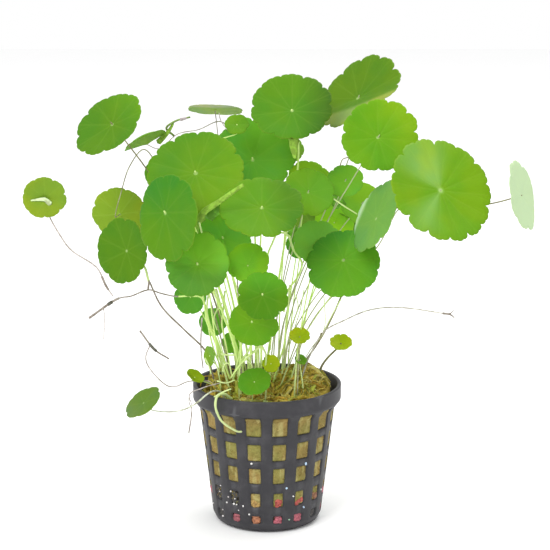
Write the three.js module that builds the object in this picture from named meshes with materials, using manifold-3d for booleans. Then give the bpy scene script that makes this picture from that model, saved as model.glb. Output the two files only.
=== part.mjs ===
// A whorled pennywort in a black net pot: round, scalloped leaves on thin stalks, rising from creeping
// stems on a plug of rock wool. Millimetres, +Z up. The origin is the middle of the pot's flat bottom,
// and the front of the plant faces -Y.
import * as THREE from "three";
import { mergeVertices } from "three/addons/utils/BufferGeometryUtils.js";
import Module from "manifold-3d";

// Pot
const POT_HEIGHT = 49.3;
const COLLAR_RADIUS = 26;
const COLLAR_BOTTOM = 44.1;
const BODY_TOP_RADIUS = 23.7;
const BODY_TOP = 41;
const BODY_BOTTOM_RADIUS = 19.2;
const BODY_BOTTOM = 2.9;
const FOOT_RADIUS = 16.2;
const FOOT_BEVEL = { radius: 18.2, height: 0.8 };
const WALL = 1.2;
const COLLAR_WALL = 1.5;
const RIM_WIDTH = 1;
const FLOOR = 1.6;

// Windows in the pot's wall: columns round it, and for each row its lower edge, height and width
const COLUMNS = 16;
const RIB_NARROWING = THREE.MathUtils.degToRad(1.45);
const WINDOW_ROWS = [
  { bottom: 36, height: 7.2, width: 5.4 },
  { bottom: 27, height: 6.2, width: 4.8 },
  { bottom: 18.5, height: 5.8, width: 4.2 },
  { bottom: 9.9, height: 5.1, width: 3.4 },
  { bottom: 3.6, height: 2.8, width: 3.2 },
];
const WINDOW_CUT = { depth: 16, radius: 22 };
const FLOOR_SLOTS = 8;
const FLOOR_SLOT = { width: 2.4, length: 6.5, radius: 10.8 };

// Rock wool
const GAP = 0.3;
const WOOL_TOP = 46.6;
const WOOL_TOP_RADIUS = 21.8;
const WOOL_SIDES = 20;
const RIPPLE = { height: 0.4, x: 0.4, y: 0.35 };
const MOUND = { x: 12, y: 1, height: 7, spread: 6.5 };

// Leaves and stalks
const BLADE_THICKNESS = 0.5;
const STALK_RADIUS = 0.55;
const THIN_RADIUS = 0.4;
const RHIZOME_RADIUS = 1;
const ROOT_RADIUS = 0.6;
const STRAND_SIDES = 4;
const THIN_SIDES = 3;
const STALK_STEPS = 5;
const SHOOT_STEPS = 4;
const FOOT_LIFT = 0.6;
const RISE = 0.4;
const ARCH = 0.16;
const NOTCH_DEPTH = 0.06;
const UNEVENNESS = 0.03;
const MIDDLE_RING = 0.55;

// The side of the plant that is its front is seen from a little above
const FRONT_PITCH = THREE.MathUtils.degToRad(12);

const wasm = await Module();
wasm.setup();

const radians = THREE.MathUtils.degToRad;
const vector = (point) => new THREE.Vector3(...point);

// Colours
const finish = (color, roughness) => new THREE.MeshStandardMaterial({ color, roughness, metalness: 0 });
const BLACK_PLASTIC = finish(0x3a3a40, 0.55);
const WOOL = finish(0x8a7a34, 0.95);
const LEAF_GREEN = finish(0x6aa82a, 0.45);
const LEAF_DARK = finish(0x4f9230, 0.45);
const LEAF_YOUNG = finish(0x93b832, 0.5);
const STALK_PALE = finish(0xb9d98a, 0.5);
const RUNNER_BROWN = finish(0x8a8468, 0.6);

// A geometry as a solid: only positions are kept, and shared corners are merged
function solidOf(geometry) {
  const bare = geometry.index ? geometry.toNonIndexed() : geometry.clone();
  bare.deleteAttribute("normal");
  bare.deleteAttribute("uv");
  const merged = mergeVertices(bare, 1e-3);
  return new wasm.Manifold(
    new wasm.Mesh({
      numProp: 3,
      vertProperties: merged.attributes.position.array,
      triVerts: new Uint32Array(merged.index.array),
    }),
  );
}

function geometryOf(solid) {
  const mesh = solid.getMesh();
  const geometry = new THREE.BufferGeometry();
  geometry.setAttribute("position", new THREE.BufferAttribute(mesh.vertProperties, 3));
  geometry.setIndex(new THREE.BufferAttribute(mesh.triVerts, 1));
  geometry.computeVertexNormals();
  return geometry;
}

// Several geometries that grow together, as one body
function joined(geometries) {
  const solids = geometries.map(solidOf);
  return geometryOf(solids.reduce((whole, piece) => whole.add(piece)));
}

// Moves each corner of a geometry by a function of its place
function reshape(geometry, move) {
  const place = geometry.attributes.position;
  const point = new THREE.Vector3();
  for (let i = 0; i < place.count; i++) {
    point.fromBufferAttribute(place, i);
    move(point);
    place.setXYZ(i, point.x, point.y, point.z);
  }
  return geometry;
}

// A profile of [radius, height] pairs turned about the Z axis, with its first corner at the angle start
function turned(profile, sides, start = 0) {
  const outline = profile.map(([radius, height]) => new THREE.Vector2(radius, height));
  return new THREE.LatheGeometry(outline, sides, start).rotateX(Math.PI / 2);
}

// A stalk, root or runner of one thickness along a curve
function strand(curve, radius, steps) {
  const sides = radius < STALK_RADIUS ? THIN_SIDES : STRAND_SIDES;
  const corners = Array.from({ length: sides }, (_, i) => {
    const angle = (2 * Math.PI * i) / sides;
    return new THREE.Vector2(radius * Math.cos(angle), radius * Math.sin(angle));
  });
  return new THREE.ExtrudeGeometry(new THREE.Shape(corners), { extrudePath: curve, steps });
}

const through = (points) => new THREE.CatmullRomCurve3(points.map(vector));

// Height of the wool's mossy top, which rises to a mound at the right
function woolTop(x, y) {
  const away = (x - MOUND.x) ** 2 + (y - MOUND.y) ** 2;
  const mound = MOUND.height * Math.exp(-away / (2 * MOUND.spread ** 2));
  return WOOL_TOP + mound + RIPPLE.height * Math.sin(RIPPLE.x * x + 1) * Math.cos(RIPPLE.y * y);
}

// A point that lies on the wool, lifted by a height
const onWool = ([x, y], lift) => [x, y, woolTop(x, y) + lift];

function netPot() {
  const profile = [
    [0, 0],
    [FOOT_RADIUS, 0],
    [FOOT_BEVEL.radius, FOOT_BEVEL.height],
    [BODY_BOTTOM_RADIUS, BODY_BOTTOM],
    [BODY_TOP_RADIUS, BODY_TOP],
    [COLLAR_RADIUS, COLLAR_BOTTOM],
    [COLLAR_RADIUS, POT_HEIGHT],
    [COLLAR_RADIUS - RIM_WIDTH, POT_HEIGHT],
    [COLLAR_RADIUS - COLLAR_WALL, COLLAR_BOTTOM + WALL],
    [BODY_TOP_RADIUS - WALL, BODY_TOP],
    [BODY_BOTTOM_RADIUS - WALL, BODY_BOTTOM],
    [FOOT_RADIUS, FLOOR],
    [0, FLOOR],
  ];
  // Corners lie between ribs and windows, so that each window is cut in one flat panel
  const shell = turned(profile, 2 * COLUMNS, Math.PI / (2 * COLUMNS));
  reshape(shell, (point) => {
    const radius = Math.hypot(point.x, point.y);
    const angle = Math.atan2(point.x, -point.y);
    const panel = angle - RIB_NARROWING * Math.sin(COLUMNS * angle);
    point.x = radius * Math.sin(panel);
    point.y = -radius * Math.cos(panel);
  });
  let pot = solidOf(shell);
  for (const { bottom, height, width } of WINDOW_ROWS) {
    for (let column = 0; column < COLUMNS; column++) {
      const cutter = new THREE.BoxGeometry(width, WINDOW_CUT.depth, height);
      cutter.translate(0, -WINDOW_CUT.radius, bottom + height / 2);
      cutter.rotateZ(((column + 0.5) * 2 * Math.PI) / COLUMNS);
      pot = pot.subtract(solidOf(cutter));
    }
  }
  for (let slot = 0; slot < FLOOR_SLOTS; slot++) {
    const cutter = new THREE.BoxGeometry(FLOOR_SLOT.width, FLOOR_SLOT.length, 4 * FLOOR);
    cutter.translate(0, -FLOOR_SLOT.radius, 0);
    cutter.rotateZ((slot * 2 * Math.PI) / FLOOR_SLOTS);
    pot = pot.subtract(solidOf(cutter));
  }
  return geometryOf(pot);
}

function rockWool() {
  const topRings = [15, 8, 0];
  const inside = (z) => {
    const rise = (z - BODY_BOTTOM) / (BODY_TOP - BODY_BOTTOM);
    return BODY_BOTTOM_RADIUS + rise * (BODY_TOP_RADIUS - BODY_BOTTOM_RADIUS) - WALL - 2 * GAP;
  };
  const profile = [
    [0, FLOOR + GAP],
    [FOOT_RADIUS - 1, FLOOR + GAP],
    [inside(4), 4],
    [inside(BODY_TOP), BODY_TOP],
    [WOOL_TOP_RADIUS, WOOL_TOP],
    ...topRings.map((radius) => [radius, WOOL_TOP]),
  ];
  return reshape(turned(profile, WOOL_SIDES), (point) => {
    if (point.z > BODY_TOP + GAP) point.z = woolTop(point.x, point.y);
  });
}

// A round blade, scalloped into lobes, with its stalk's meeting point at the origin and its top side
// facing +Z. cup raises the margin, as a share of the radius; long stretches one side; fold bends both
// halves up about a crease; wave lifts and lowers the margin.
function bladeGeometry(leaf) {
  const { radius, lobes, cup = 0.06, long = [0, 0], fold = [0, 0], wave = 0.03, lobePoints = 2 } = leaf;
  const half = BLADE_THICKNESS / 2;
  const segments = lobePoints * lobes;
  const rings = fold[0] === 0 ? [0, radius] : [0, MIDDLE_RING * radius, radius];
  const underside = rings.map((ring) => [ring, -half]);
  const profile = [...underside, ...rings.reverse().map((ring) => [ring, half])];
  const [stretch, stretchToward] = [long[0], radians(long[1])];
  const [bend, crease] = [radians(fold[0]), radians(fold[1])];
  return reshape(turned(profile, segments), (point) => {
    const angle = Math.atan2(point.y, point.x);
    const share = Math.hypot(point.x, point.y) / radius;
    const step = Math.round((Math.atan2(point.x, -point.y) * segments) / (2 * Math.PI));
    const notch = step % lobePoints === 0 ? NOTCH_DEPTH * share ** 4 : 0;
    const uneven = UNEVENNESS * Math.sin(2 * angle + radius) + stretch * Math.cos(angle - stretchToward);
    const reach = share * radius * (1 + uneven) * (1 - notch);
    const lift = radius * share ** 2 * (cup + wave * Math.sin(3 * angle + radius));
    const along = reach * Math.cos(angle - crease);
    const across = reach * Math.sin(angle - crease);
    const outward = across * Math.cos(bend);
    point.x = along * Math.cos(crease) - outward * Math.sin(crease);
    point.y = along * Math.sin(crease) + outward * Math.cos(crease);
    point.z += lift + Math.abs(across) * Math.sin(bend);
  });
}

// How a blade is turned: tilt is the angle from facing the front view, and toward is the direction of
// that tilt, counter-clockwise from the right as seen in the front view
function facing({ tilt = 0, toward = 90 }) {
  const across = new THREE.Vector3(1, 0, 0);
  const front = new THREE.Quaternion().setFromAxisAngle(across, Math.PI / 2 - FRONT_PITCH);
  const axis = new THREE.Vector3(-Math.sin(radians(toward)), Math.cos(radians(toward)), 0);
  return front.multiply(new THREE.Quaternion().setFromAxisAngle(axis, radians(tilt)));
}

// A stalk's curve: from its foot, through any given points, and into the blade's back along the
// blade's normal, where arch is the length of the bend as a share of the stalk's span
function stalkCurve(leaf, clearance, footLift) {
  const normal = new THREE.Vector3(0, 0, 1).applyQuaternion(facing(leaf));
  const hub = vector(leaf.hub);
  const end = hub.clone().addScaledVector(normal, -clearance);
  const foot = vector(leaf.foot.length === 3 ? leaf.foot : onWool(leaf.foot, footLift));
  const span = hub.distanceTo(foot);
  const bend = hub.clone().addScaledVector(normal, -(leaf.arch ?? ARCH) * span);
  if (leaf.via) return new THREE.CatmullRomCurve3([foot, ...leaf.via.map(vector), bend, end]);
  const rise = foot.clone().add(new THREE.Vector3(0, 0, RISE * span));
  return new THREE.CubicBezierCurve3(foot, rise, bend, end);
}

// A small leaf that grows fused with its stem: its blade and stalk, each in place
function smallLeaf(leaf) {
  const blade = bladeGeometry({ lobes: 6, ...leaf });
  blade.applyQuaternion(facing(leaf));
  blade.translate(...leaf.hub);
  const curve = stalkCurve(leaf, 0, RHIZOME_RADIUS + FOOT_LIFT);
  return [blade, strand(curve, leaf.thickness ?? THIN_RADIUS, leaf.steps ?? SHOOT_STEPS)];
}

// A creeping stem that lies on the wool, with the small leaves and any runner that grow on it
function creepingStem(path, leaves, runner = []) {
  const route = through(path.map((point) => onWool(point, RHIZOME_RADIUS + FOOT_LIFT)));
  const stem = strand(route, RHIZOME_RADIUS, 2 * (path.length - 1));
  return joined([stem, ...leaves.flatMap(smallLeaf), ...runner]);
}

// The main leaves. hub is where the stalk meets the blade and foot is where the stalk leaves the wool
// or, with three numbers, another stem; both are measured from the middle of the pot's bottom.
const LEAVES = [
  {
    name: "left_top",
    hub: [-52.2, -4, 140.6], radius: 13, lobes: 9, tilt: 45, toward: 131, long: [0.11, 170],
    foot: [-13, 1],
  },
  {
    name: "left_olive",
    hub: [-51.7, 14, 106.7], radius: 10.2, lobes: 8, tilt: 155, toward: 60, cup: 0.12, long: [0.06, 70],
    foot: [-12, 6], via: [[-24, 10, 90], [-35, 13, 118], [-44, 13, 130]], arch: 0.1, steps: 14,
    tone: LEAF_YOUNG,
  },
  {
    name: "left_centre",
    hub: [-33.1, -30, 114.9], radius: 14.6, lobes: 10, tilt: 46, toward: 180, long: [0.18, 318], cup: 0.04,
    foot: [-9.5, -6.5], tone: LEAF_DARK,
  },
  {
    name: "left_low",
    hub: [-47.6, -10, 98.2], radius: 11.1, lobes: 8, tilt: 34, toward: 185, long: [0.15, 175],
    foot: [-40.5, -11.5, 89.5], steps: 4,
  },
  {
    name: "left_big",
    hub: [-23.7, -14, 125.5], radius: 17, lobes: 12, lobePoints: 3, tilt: 35, toward: 95,
    foot: [-8, -2],
  },
  {
    name: "left_narrow",
    hub: [-42.5, 22, 130.6], radius: 8.3, lobes: 7, tilt: 84, toward: 114, fold: [20, 24],
    foot: [-9, 12.5], via: [[-12, 19, 110], [-13.8, 21, 138.6], [-22.2, 21.5, 136], [-33, 23, 133.2]],
    arch: 0.05, steps: 16,
    shoot: [[-33, 23, 133.2], [-35.6, 22.3, 136], [-32, 20.5, 138.8], [-27, 18, 140.4]],
  },
  {
    name: "top_narrow",
    hub: [-18.1, 18, 143], radius: 9.8, lobes: 8, tilt: 95.5, toward: 87,
    cup: 0.02, wave: 0.015, foot: [-5, 9.5],
  },
  {
    name: "top_centre",
    hub: [8.6, -2, 145], radius: 13.7, lobes: 11, tilt: 28, toward: 95, long: [0.11, 95],
    foot: [-1, 0.5], via: [[4, 1.5, 85], [10, 5, 120.6], [12, 6, 130.8]], arch: 0.08, steps: 8,
  },
  {
    name: "centre_back",
    hub: [-5, 10, 126.3], radius: 13.8, lobes: 10, tilt: 12, toward: 80, long: [0.2, 70],
    foot: [-3, 6], tone: LEAF_DARK,
  },
  {
    name: "centre_front",
    hub: [-1.5, -30, 116.5], radius: 13.6, lobes: 11, tilt: 39, toward: 90,
    foot: [-4, -6],
  },
  {
    name: "centre_right",
    hub: [14, -8, 118], radius: 9, lobes: 9, tilt: 22, toward: 90,
    foot: [1, -3],
  },
  {
    name: "inner_olive",
    hub: [15, 14, 119], radius: 7.7, lobes: 8, tilt: 30, toward: 60,
    foot: [2, 9], tone: LEAF_YOUNG,
  },
  {
    name: "right_inner",
    hub: [27, 4.5, 119.9], radius: 6.5, lobes: 8, tilt: 25, toward: 90,
    foot: [5, 4],
  },
  {
    name: "right_olive",
    hub: [33.5, 16, 110], radius: 8, lobes: 8, tilt: 20, toward: 30,
    foot: [6, 10], tone: LEAF_YOUNG,
  },
  {
    name: "right_silvery",
    hub: [36.2, -22, 111.5], radius: 13, lobes: 10, tilt: 67, toward: 156.5, long: [0.06, 66],
    foot: [4.5, -6.5], via: [[14, -8, 74], [29, -5, 93], [39, -12, 104]], arch: 0.04, steps: 10,
  },
  {
    name: "right_low",
    hub: [25.8, -16, 96.3], radius: 12.5, lobes: 10, tilt: 22, toward: 90, long: [0.12, 270],
    foot: [5, -2], tone: LEAF_DARK,
  },
  {
    name: "right_big",
    hub: [56.3, -34, 123], radius: 18.9, lobes: 14, lobePoints: 3, tilt: 36, toward: 43,
    foot: [8, -6], via: [[14.2, -5, 70], [22.8, -5, 81.6], [37, -4, 97], [45, -15, 114]],
    steps: 12,
  },
  {
    name: "far_right",
    hub: [84.6, -20, 119], radius: 12, lobes: 9, tilt: 63, toward: 13, cup: 0.03,
    foot: [10, -2.5], via: [[18.8, -3, 66], [25.3, -1, 79], [34, 0, 101], [46, -4, 113], [58, -18, 117.5]],
    steps: 14,
  },
  {
    name: "right_upper",
    hub: [37, -14, 137.5], radius: 12.9, lobes: 11, tilt: 14, toward: 90, long: [0.08, 45],
    foot: [3, 0.5],
  },
  {
    name: "right_top",
    hub: [31.5, 12, 147.7], radius: 16.8, lobes: 12, tilt: 56, toward: 130,
    fold: [9, 5], long: [0.07, 20], foot: [3.5, 6.5],
  },
  {
    name: "low_left",
    hub: [-22.6, -31, 98], radius: 11, lobes: 10, tilt: 15, toward: 120,
    foot: [-9, -10.5], tone: LEAF_DARK,
  },
  {
    name: "low_back",
    hub: [-14.8, -12, 103], radius: 9.1, lobes: 8, tilt: 20, toward: 90, long: [0.18, 50],
    foot: [-6, -4.5], tone: LEAF_DARK,
  },
  {
    name: "low_centre",
    hub: [-1.3, -38, 89.3], radius: 8.3, lobes: 8, tilt: 5, toward: 270, long: [0.05, 300],
    foot: [-2, -9.5],
  },
  {
    name: "low_yellow",
    hub: [-4.9, -30.5, 78.3], radius: 8.2, lobes: 7, tilt: 20, toward: 250, long: [0.1, 335],
    foot: [-6, -9.5], tone: LEAF_YOUNG,
  },
  {
    name: "rim_left",
    hub: [-41.2, -30, 50.5], radius: 7, lobes: 6, tilt: 60, toward: 127,
    foot: [-14.5, -14], via: [[-16.5, -16.3, 50.8], [-19.6, -19.4, 50.8], [-25, -25, 48], [-31, -28, 46.8]],
    arch: 0.1, steps: 10, tone: LEAF_DARK,
  },
];

// Leaves that grow on the creeping stems at the front of the pot
const LEFT_YOUNG = [
  { hub: [-25, -8, 53.2], radius: 3.4, tilt: 60, toward: 60, cup: 0.25, foot: [-17, -5.5], steps: 4 },
  { hub: [-19.7, -10.5, 61.5], radius: 3.6, tilt: 72, toward: 180, foot: [-16, -7] },
  { hub: [-4.2, -19.5, 54.8], radius: 5.8, lobes: 8, tilt: 40, toward: 95, foot: [-5, -15.5], steps: 3 },
  { hub: [1.4, -12, 58.8], radius: 2.6, tilt: 20, toward: 120, foot: [-0.5, -16.5], steps: 3 },
  { hub: [-6.2, -25, 96.3], radius: 7, lobes: 8, tilt: 15, toward: 90, long: [0.15, 90], foot: [-9.5, -13.6],
    thickness: 0.5 },
];
const RIGHT_YOUNG = [
  { hub: [11.2, -14, 69.2], radius: 3.8, lobes: 8, tilt: 45, toward: 90, foot: [10.5, -13], cup: 0.2 },
  { hub: [26, 4, 62.2], radius: 4.2, lobes: 8, tilt: 50, toward: 90, foot: [18.5, 3], cup: 0.2 },
  { hub: [11.5, -12, 60.4], radius: 2.2, tilt: 40, toward: 60, cup: 0.3, foot: [12.5, -10.8], steps: 3 },
  { hub: [17.4, -9, 100.8], radius: 8.3, lobes: 8, tilt: 15, toward: 90, foot: [9.5, -13.6], thickness: 0.5,
    arch: 0.05 },
];

// Leaves at the back of the pot
const BACK_LEFT = [
  { hub: [-35.8, 6, 122.6], radius: 7, tilt: 20, toward: 180, foot: [-14, 9.5], thickness: 0.5 },
  { hub: [-10.2, 2, 139.8], radius: 4.4, tilt: 35, toward: 90, foot: [-7, 15.5], thickness: 0.5,
    via: [[-20, 13, 105], [-20, 8, 130]], arch: 0.05, steps: 8 },
  { hub: [-26.7, 1, 79.5], radius: 6, tilt: 15, toward: 200, foot: [-15.5, 5], thickness: 0.5 },
  { hub: [-30, 34, 108], radius: 11, lobes: 8, tilt: 150, toward: 100, foot: [-11, 13.5], thickness: 0.5 },
  { hub: [-19.4, 15, 67.3], radius: 5.3, tilt: 20, toward: 60, foot: [-14, 9.5], arch: 0.08, steps: 3 },
  { hub: [-12.7, 17, 59], radius: 4, tilt: 15, toward: 90, foot: [-11, 13.5], arch: 0.08, steps: 3 },
  { hub: [-17, 44, 94], radius: 11.5, lobes: 8, tilt: 130, toward: 90, foot: [-5, 17], thickness: 0.5 },
];
const BACK_RIGHT = [
  { hub: [8.3, 18, 128.8], radius: 5, tilt: 25, toward: 90, foot: [4, 15.5], thickness: 0.5 },
  { hub: [12.2, 18.5, 95], radius: 5.7, tilt: 20, toward: 90, foot: [7.5, 14], thickness: 0.5, steps: 3 },
  { hub: [24.1, 26, 101.4], radius: 7.2, lobes: 8, tilt: 20, toward: 90, foot: [11, 12.5], thickness: 0.5 },
  { hub: [13, 40, 104], radius: 10, lobes: 8, tilt: 140, toward: 90, foot: [6, 15], thickness: 0.5 },
  { hub: [27, 32, 96], radius: 10, lobes: 8, tilt: 130, toward: 60, foot: [10, 13], thickness: 0.5 },
];

// The runner at the left: a stem that rises over the rim and forks, with a long arm along the left
function leftRunner() {
  const stem = through([
    onWool([-18, -1], FOOT_LIFT), [-19.5, -3, 55], [-21.5, -6, 62.4], [-28.4, -8, 70.1],
    [-35.9, -10, 78.7], [-40, -12, 88.3],
  ]);
  const arm = through([
    onWool([-12.5, -8], FOOT_LIFT), [-17.6, -10, 66.9], [-20.4, -11, 73.2], [-21.8, -11, 81.5],
    [-25.5, -12, 83], [-31, -11, 82.6], [-36, -12, 83.9], [-40.4, -12, 85.1], [-46, -14, 83.4],
    [-51.1, -15, 82.4], [-60, -18, 76.7],
  ]);
  const link = through([[-40.4, -12, 85.1], [-40, -12, 88.3]]);
  return joined([strand(stem, 0.5, 12), strand(arm, THIN_RADIUS, 18), strand(link, THIN_RADIUS, 1)]);
}

// The thin runner that hangs over the rim at the left and turns up to a folded bud
function hangingRunner() {
  const stem = through([
    onWool([-17, -5.2], RHIZOME_RADIUS + FOOT_LIFT), [-20.5, -6.5, 51.4], [-27, -8.3, 51.8],
    [-31.1, -10, 50.6], [-34.1, -11, 50.9], [-37.4, -12, 53.9], [-40.7, -13, 58.6], [-41.4, -13, 62.1],
    [-39.8, -13, 66.3],
  ]);
  const bud = through([[-43.3, -13, 71], [-38.6, -13, 64.6], [-33.5, -13, 61.1]]);
  return [strand(stem, THIN_RADIUS, 10), strand(bud, STALK_RADIUS, 4)];
}

// The thin stalk at the far left, with its small folded leaf
const FAR_LEFT = {
  hub: [-75.1, -8, 116.1], radius: 7.4, lobes: 7, tilt: 10, toward: 270, fold: [12, 170], long: [0.05, 90],
  foot: [-52, -15.3, 83.6], arch: 0.08, steps: 12,
  via: [[-54.5, -14, 87], [-57.9, -12, 93.1], [-66, -11, 98.4], [-70.1, -10, 103.7], [-74, -7, 110]],
};

function rightRunner() {
  const stem = through([
    onWool([12, -5], FOOT_LIFT), [14.5, -7.5, 60], [19.5, -8, 69.3], [26.9, -8, 73.6], [34, -9, 77],
    [41.1, -10, 78.5], [48.2, -11, 78.5], [55.3, -12, 77.7], [60.5, -12, 76.8],
  ]);
  const bud = through([[60, -12, 76.9], [62.5, -12, 76.5], [64, -12, 75.4]]);
  const scale = through([[61.5, -12, 76.7], [62.8, -12, 77], [63.8, -11.8, 78]]);
  return joined([strand(stem, THIN_RADIUS, 13), strand(bud, 0.5, 2), strand(scale, THIN_RADIUS, 2)]);
}

const plant = new THREE.Group();

function place(name, geometry, material) {
  const mesh = new THREE.Mesh(geometry, material.clone());
  mesh.name = name;
  plant.add(mesh);
  return mesh;
}

place("net_pot", netPot(), BLACK_PLASTIC);
place("rock_wool", rockWool(), WOOL);

for (const leaf of LEAVES) {
  const blade = place("leaf_" + leaf.name, bladeGeometry(leaf), leaf.tone ?? LEAF_GREEN);
  blade.quaternion.copy(facing(leaf));
  blade.position.set(...leaf.hub);
  const curve = stalkCurve(leaf, BLADE_THICKNESS / 2 + GAP, FOOT_LIFT);
  const stalk = strand(curve, STALK_RADIUS, leaf.steps ?? STALK_STEPS);
  const whole = leaf.shoot ? joined([stalk, strand(through(leaf.shoot), THIN_RADIUS, SHOOT_STEPS)]) : stalk;
  place("stalk_" + leaf.name, whole, STALK_PALE);
}

const leftPath = [[-17, -5], [-15.5, -8.5], [-13, -10.8], [-9.5, -13.6], [-5, -15.5], [-0.5, -16.5]];
const rightPath = [[19, 4.5], [17.8, -1], [15, -7.5], [11.5, -12], [7, -15.5]];
const backLeftPath = [[-16, 4], [-14.5, 9], [-11, 13.5], [-4, 17.3]];
const backRightPath = [[1, 16.8], [6, 15], [11, 12.5]];
place("rhizome_left", creepingStem(leftPath, LEFT_YOUNG, hangingRunner()), STALK_PALE);
place("rhizome_right", creepingStem(rightPath, RIGHT_YOUNG), STALK_PALE);
place("back_growth_left", creepingStem(backLeftPath, BACK_LEFT), LEAF_DARK);
place("back_growth_right", creepingStem(backRightPath, BACK_RIGHT), LEAF_DARK);

place("runner_left", leftRunner(), RUNNER_BROWN);
place("runner_far_left", joined(smallLeaf(FAR_LEFT)), LEAF_YOUNG);
place("runner_right", rightRunner(), RUNNER_BROWN);

const frontRoot = through([
  [-12, -17, 48], [-14.4, -18.8, 50.3], [-16.6, -20.6, 50.3], [-17.4, -21.6, 48], [-17, -21.8, 45],
  [-15, -22, 41.3], [-10.5, -22.9, 38.5], [-8.5, -23, 38.2],
]);
place("front_root", strand(frontRoot, ROOT_RADIUS, 10), STALK_PALE);

export default plant;
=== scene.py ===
# A whorled pennywort in a black net pot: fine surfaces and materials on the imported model.
# Places and sizes below are in millimetres, in the row frame; objects are made in metres.
import math

import bmesh
import bpy
import numpy as np
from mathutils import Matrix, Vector, noise


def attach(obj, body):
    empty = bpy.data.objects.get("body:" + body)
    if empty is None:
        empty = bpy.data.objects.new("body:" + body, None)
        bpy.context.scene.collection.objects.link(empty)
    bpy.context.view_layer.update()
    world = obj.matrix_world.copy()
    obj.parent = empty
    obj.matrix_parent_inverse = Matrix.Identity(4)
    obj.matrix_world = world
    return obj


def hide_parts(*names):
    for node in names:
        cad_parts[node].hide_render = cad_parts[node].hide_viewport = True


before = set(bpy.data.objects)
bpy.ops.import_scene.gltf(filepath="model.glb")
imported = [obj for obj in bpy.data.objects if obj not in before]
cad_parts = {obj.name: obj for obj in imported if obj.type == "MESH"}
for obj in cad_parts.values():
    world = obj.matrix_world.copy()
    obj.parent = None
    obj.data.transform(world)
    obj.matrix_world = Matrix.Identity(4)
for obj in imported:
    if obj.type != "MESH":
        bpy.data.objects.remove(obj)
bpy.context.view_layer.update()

MM = 0.001
TURN = 2 * math.pi
random = np.random.default_rng(20)

# Camera, as the photograph was taken
CAMERA_PITCH = math.radians(12.17)
CAMERA_DISTANCE = 600
CAMERA_TARGET = (2.8, 0, 87.7)
CAMERA_LENS = 113.3
SENSOR = 36
PHOTO_PIXELS = 550
CAMERA_BACK = np.array([0, -math.cos(CAMERA_PITCH), math.sin(CAMERA_PITCH)])  # towards the camera

# Pot, as in the solids save for its softened edges
POT_HEIGHT = 49.3
COLLAR_RADIUS = 26
COLLAR_BOTTOM = 44.1
BODY_TOP_RADIUS = 23.7
BODY_TOP = 41
BODY_BOTTOM_RADIUS = 19.2
BODY_BOTTOM = 2.9
FOOT_RADIUS = 16.2
FOOT_BEVEL = (18.2, 0.8)  # radius and height
FOOT_BEVEL_INSIDE = (17.2, 1.9)
WALL = 1.2
FLARE_INSIDE = 0.55  # how much the inside widens for each millimetre above the body
COLLAR_WALL = 1.5
FLOOR = 1.6
FLOOR_DISC = 4  # radius of the floor's middle
COLUMNS = 16  # of windows
WINDOW_ROWS = [  # lower edge, height and width of each row's windows
    (3.6, 2.8, 3.2),
    (9.9, 5.1, 3.4),
    (18.5, 5.8, 4.2),
    (27, 6.2, 4.8),
    (36, 7.2, 5.4),
]
SLOT_WIDTH = 2.4
SLOT_LENGTH = 6.5
SLOT_RADIUS = 10.8
SHARP_EDGE = 0.6  # in radians, past which an edge is softened
EDGE_BEVEL = 0.28

# Rock wool. The height of its top and its mossy mound are as in the solids
WOOL_TOP = 46.6
WOOL_BOTTOM = FLOOR + 0.35
WOOL_SHOULDER = WOOL_TOP - 0.6
WOOL_TOP_RADIUS = 21.9
WOOL_EDGE = 21.5  # from the axis, within which the fibres and moss on top have their middles
FIBRE_REACH, MOSS_REACH = 21.8, 23.4
WOOL_PLAY = 0.15  # between the wool and the pot's wall
WOOL_COLUMNS, WOOL_LEVELS, WOOL_RINGS = 320, 100, 46
WINDOW_DEPTH = 0.2  # of the wool below the wall's outside, in a window
BULGE_MARGIN = 0.3
MOUND_X, MOUND_Y, MOUND_HEIGHT, MOUND_SPREAD = 12, 1, 7, 6.5

# Leaves and stalks
FRONT_PITCH = math.radians(12)
BLADE_THICKNESS = 0.3
HUB_DIMPLE = 0.3
STALK_RADIUS = 0.47
YOUNG_STALK_RADIUS = 0.28
HUB_DEPTH = 0.25  # of a stalk's end below its blade's middle surface
WOODY_HUB_DEPTH = 0.45
STALK_TIP = 0.62  # a stalk's thickness at its leaf, as a share of that at its foot
STALK_SINK = 2.2  # how far a stalk's foot goes on past its solid's, into the wool
STEM_LIFT = 0.3  # of a creeping stem's middle above the wool
FOOT_LIFT = 0.6  # of a runner's foot above the wool
NOTCH_DEPTH = 0.085
YOUNG_NOTCH_DEPTH = 0.15
YOUNG_RADIUS = 5
POINTS_A_LOBE = 15
LEAF_RINGS = 14
START_ASIDE = (0.3, 0.9, 0.2)  # the first ring of a strand is laid across this
RIPPLE_TURN = 2.1  # of a knobbly strand, in radians a millimetre
LOBE_SCALE = 16  # lobes that the pattern's first coordinate has room for
STRAND_SCALE = 200  # length of strand that its second coordinate has room for
MIX_A, MIX_B, MIX_RESULT = 6, 7, 2  # places of a mix node's two colours and of its result

# How a blade is read from its solid
SAME_CORNER = 0.02
RAY_GAP = 0.05  # the least between the angles of two rays of corners
OUTER_SHARE = 0.8  # of the way to the margin, past which a ray's corners count as its margin
NOTCH_SHARE = 0.985  # of what its neighbours reach, below which a ray is a notch
RING_SPAN = 1.25  # how near to each other the corners of one ring of a stalk are


def unit(vector):
    return vector / np.linalg.norm(vector)


def wool_top(x, y):
    """Height of the wool's mossy top."""
    away = (x - MOUND_X) ** 2 + (y - MOUND_Y) ** 2
    mound = MOUND_HEIGHT * np.exp(-away / (2 * MOUND_SPREAD**2))
    return WOOL_TOP + mound + 0.4 * np.sin(0.4 * x + 1) * np.cos(0.35 * y)


def on_wool(x, y, lift=0.0):
    return (x, y, float(wool_top(x, y)) + lift)


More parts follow.
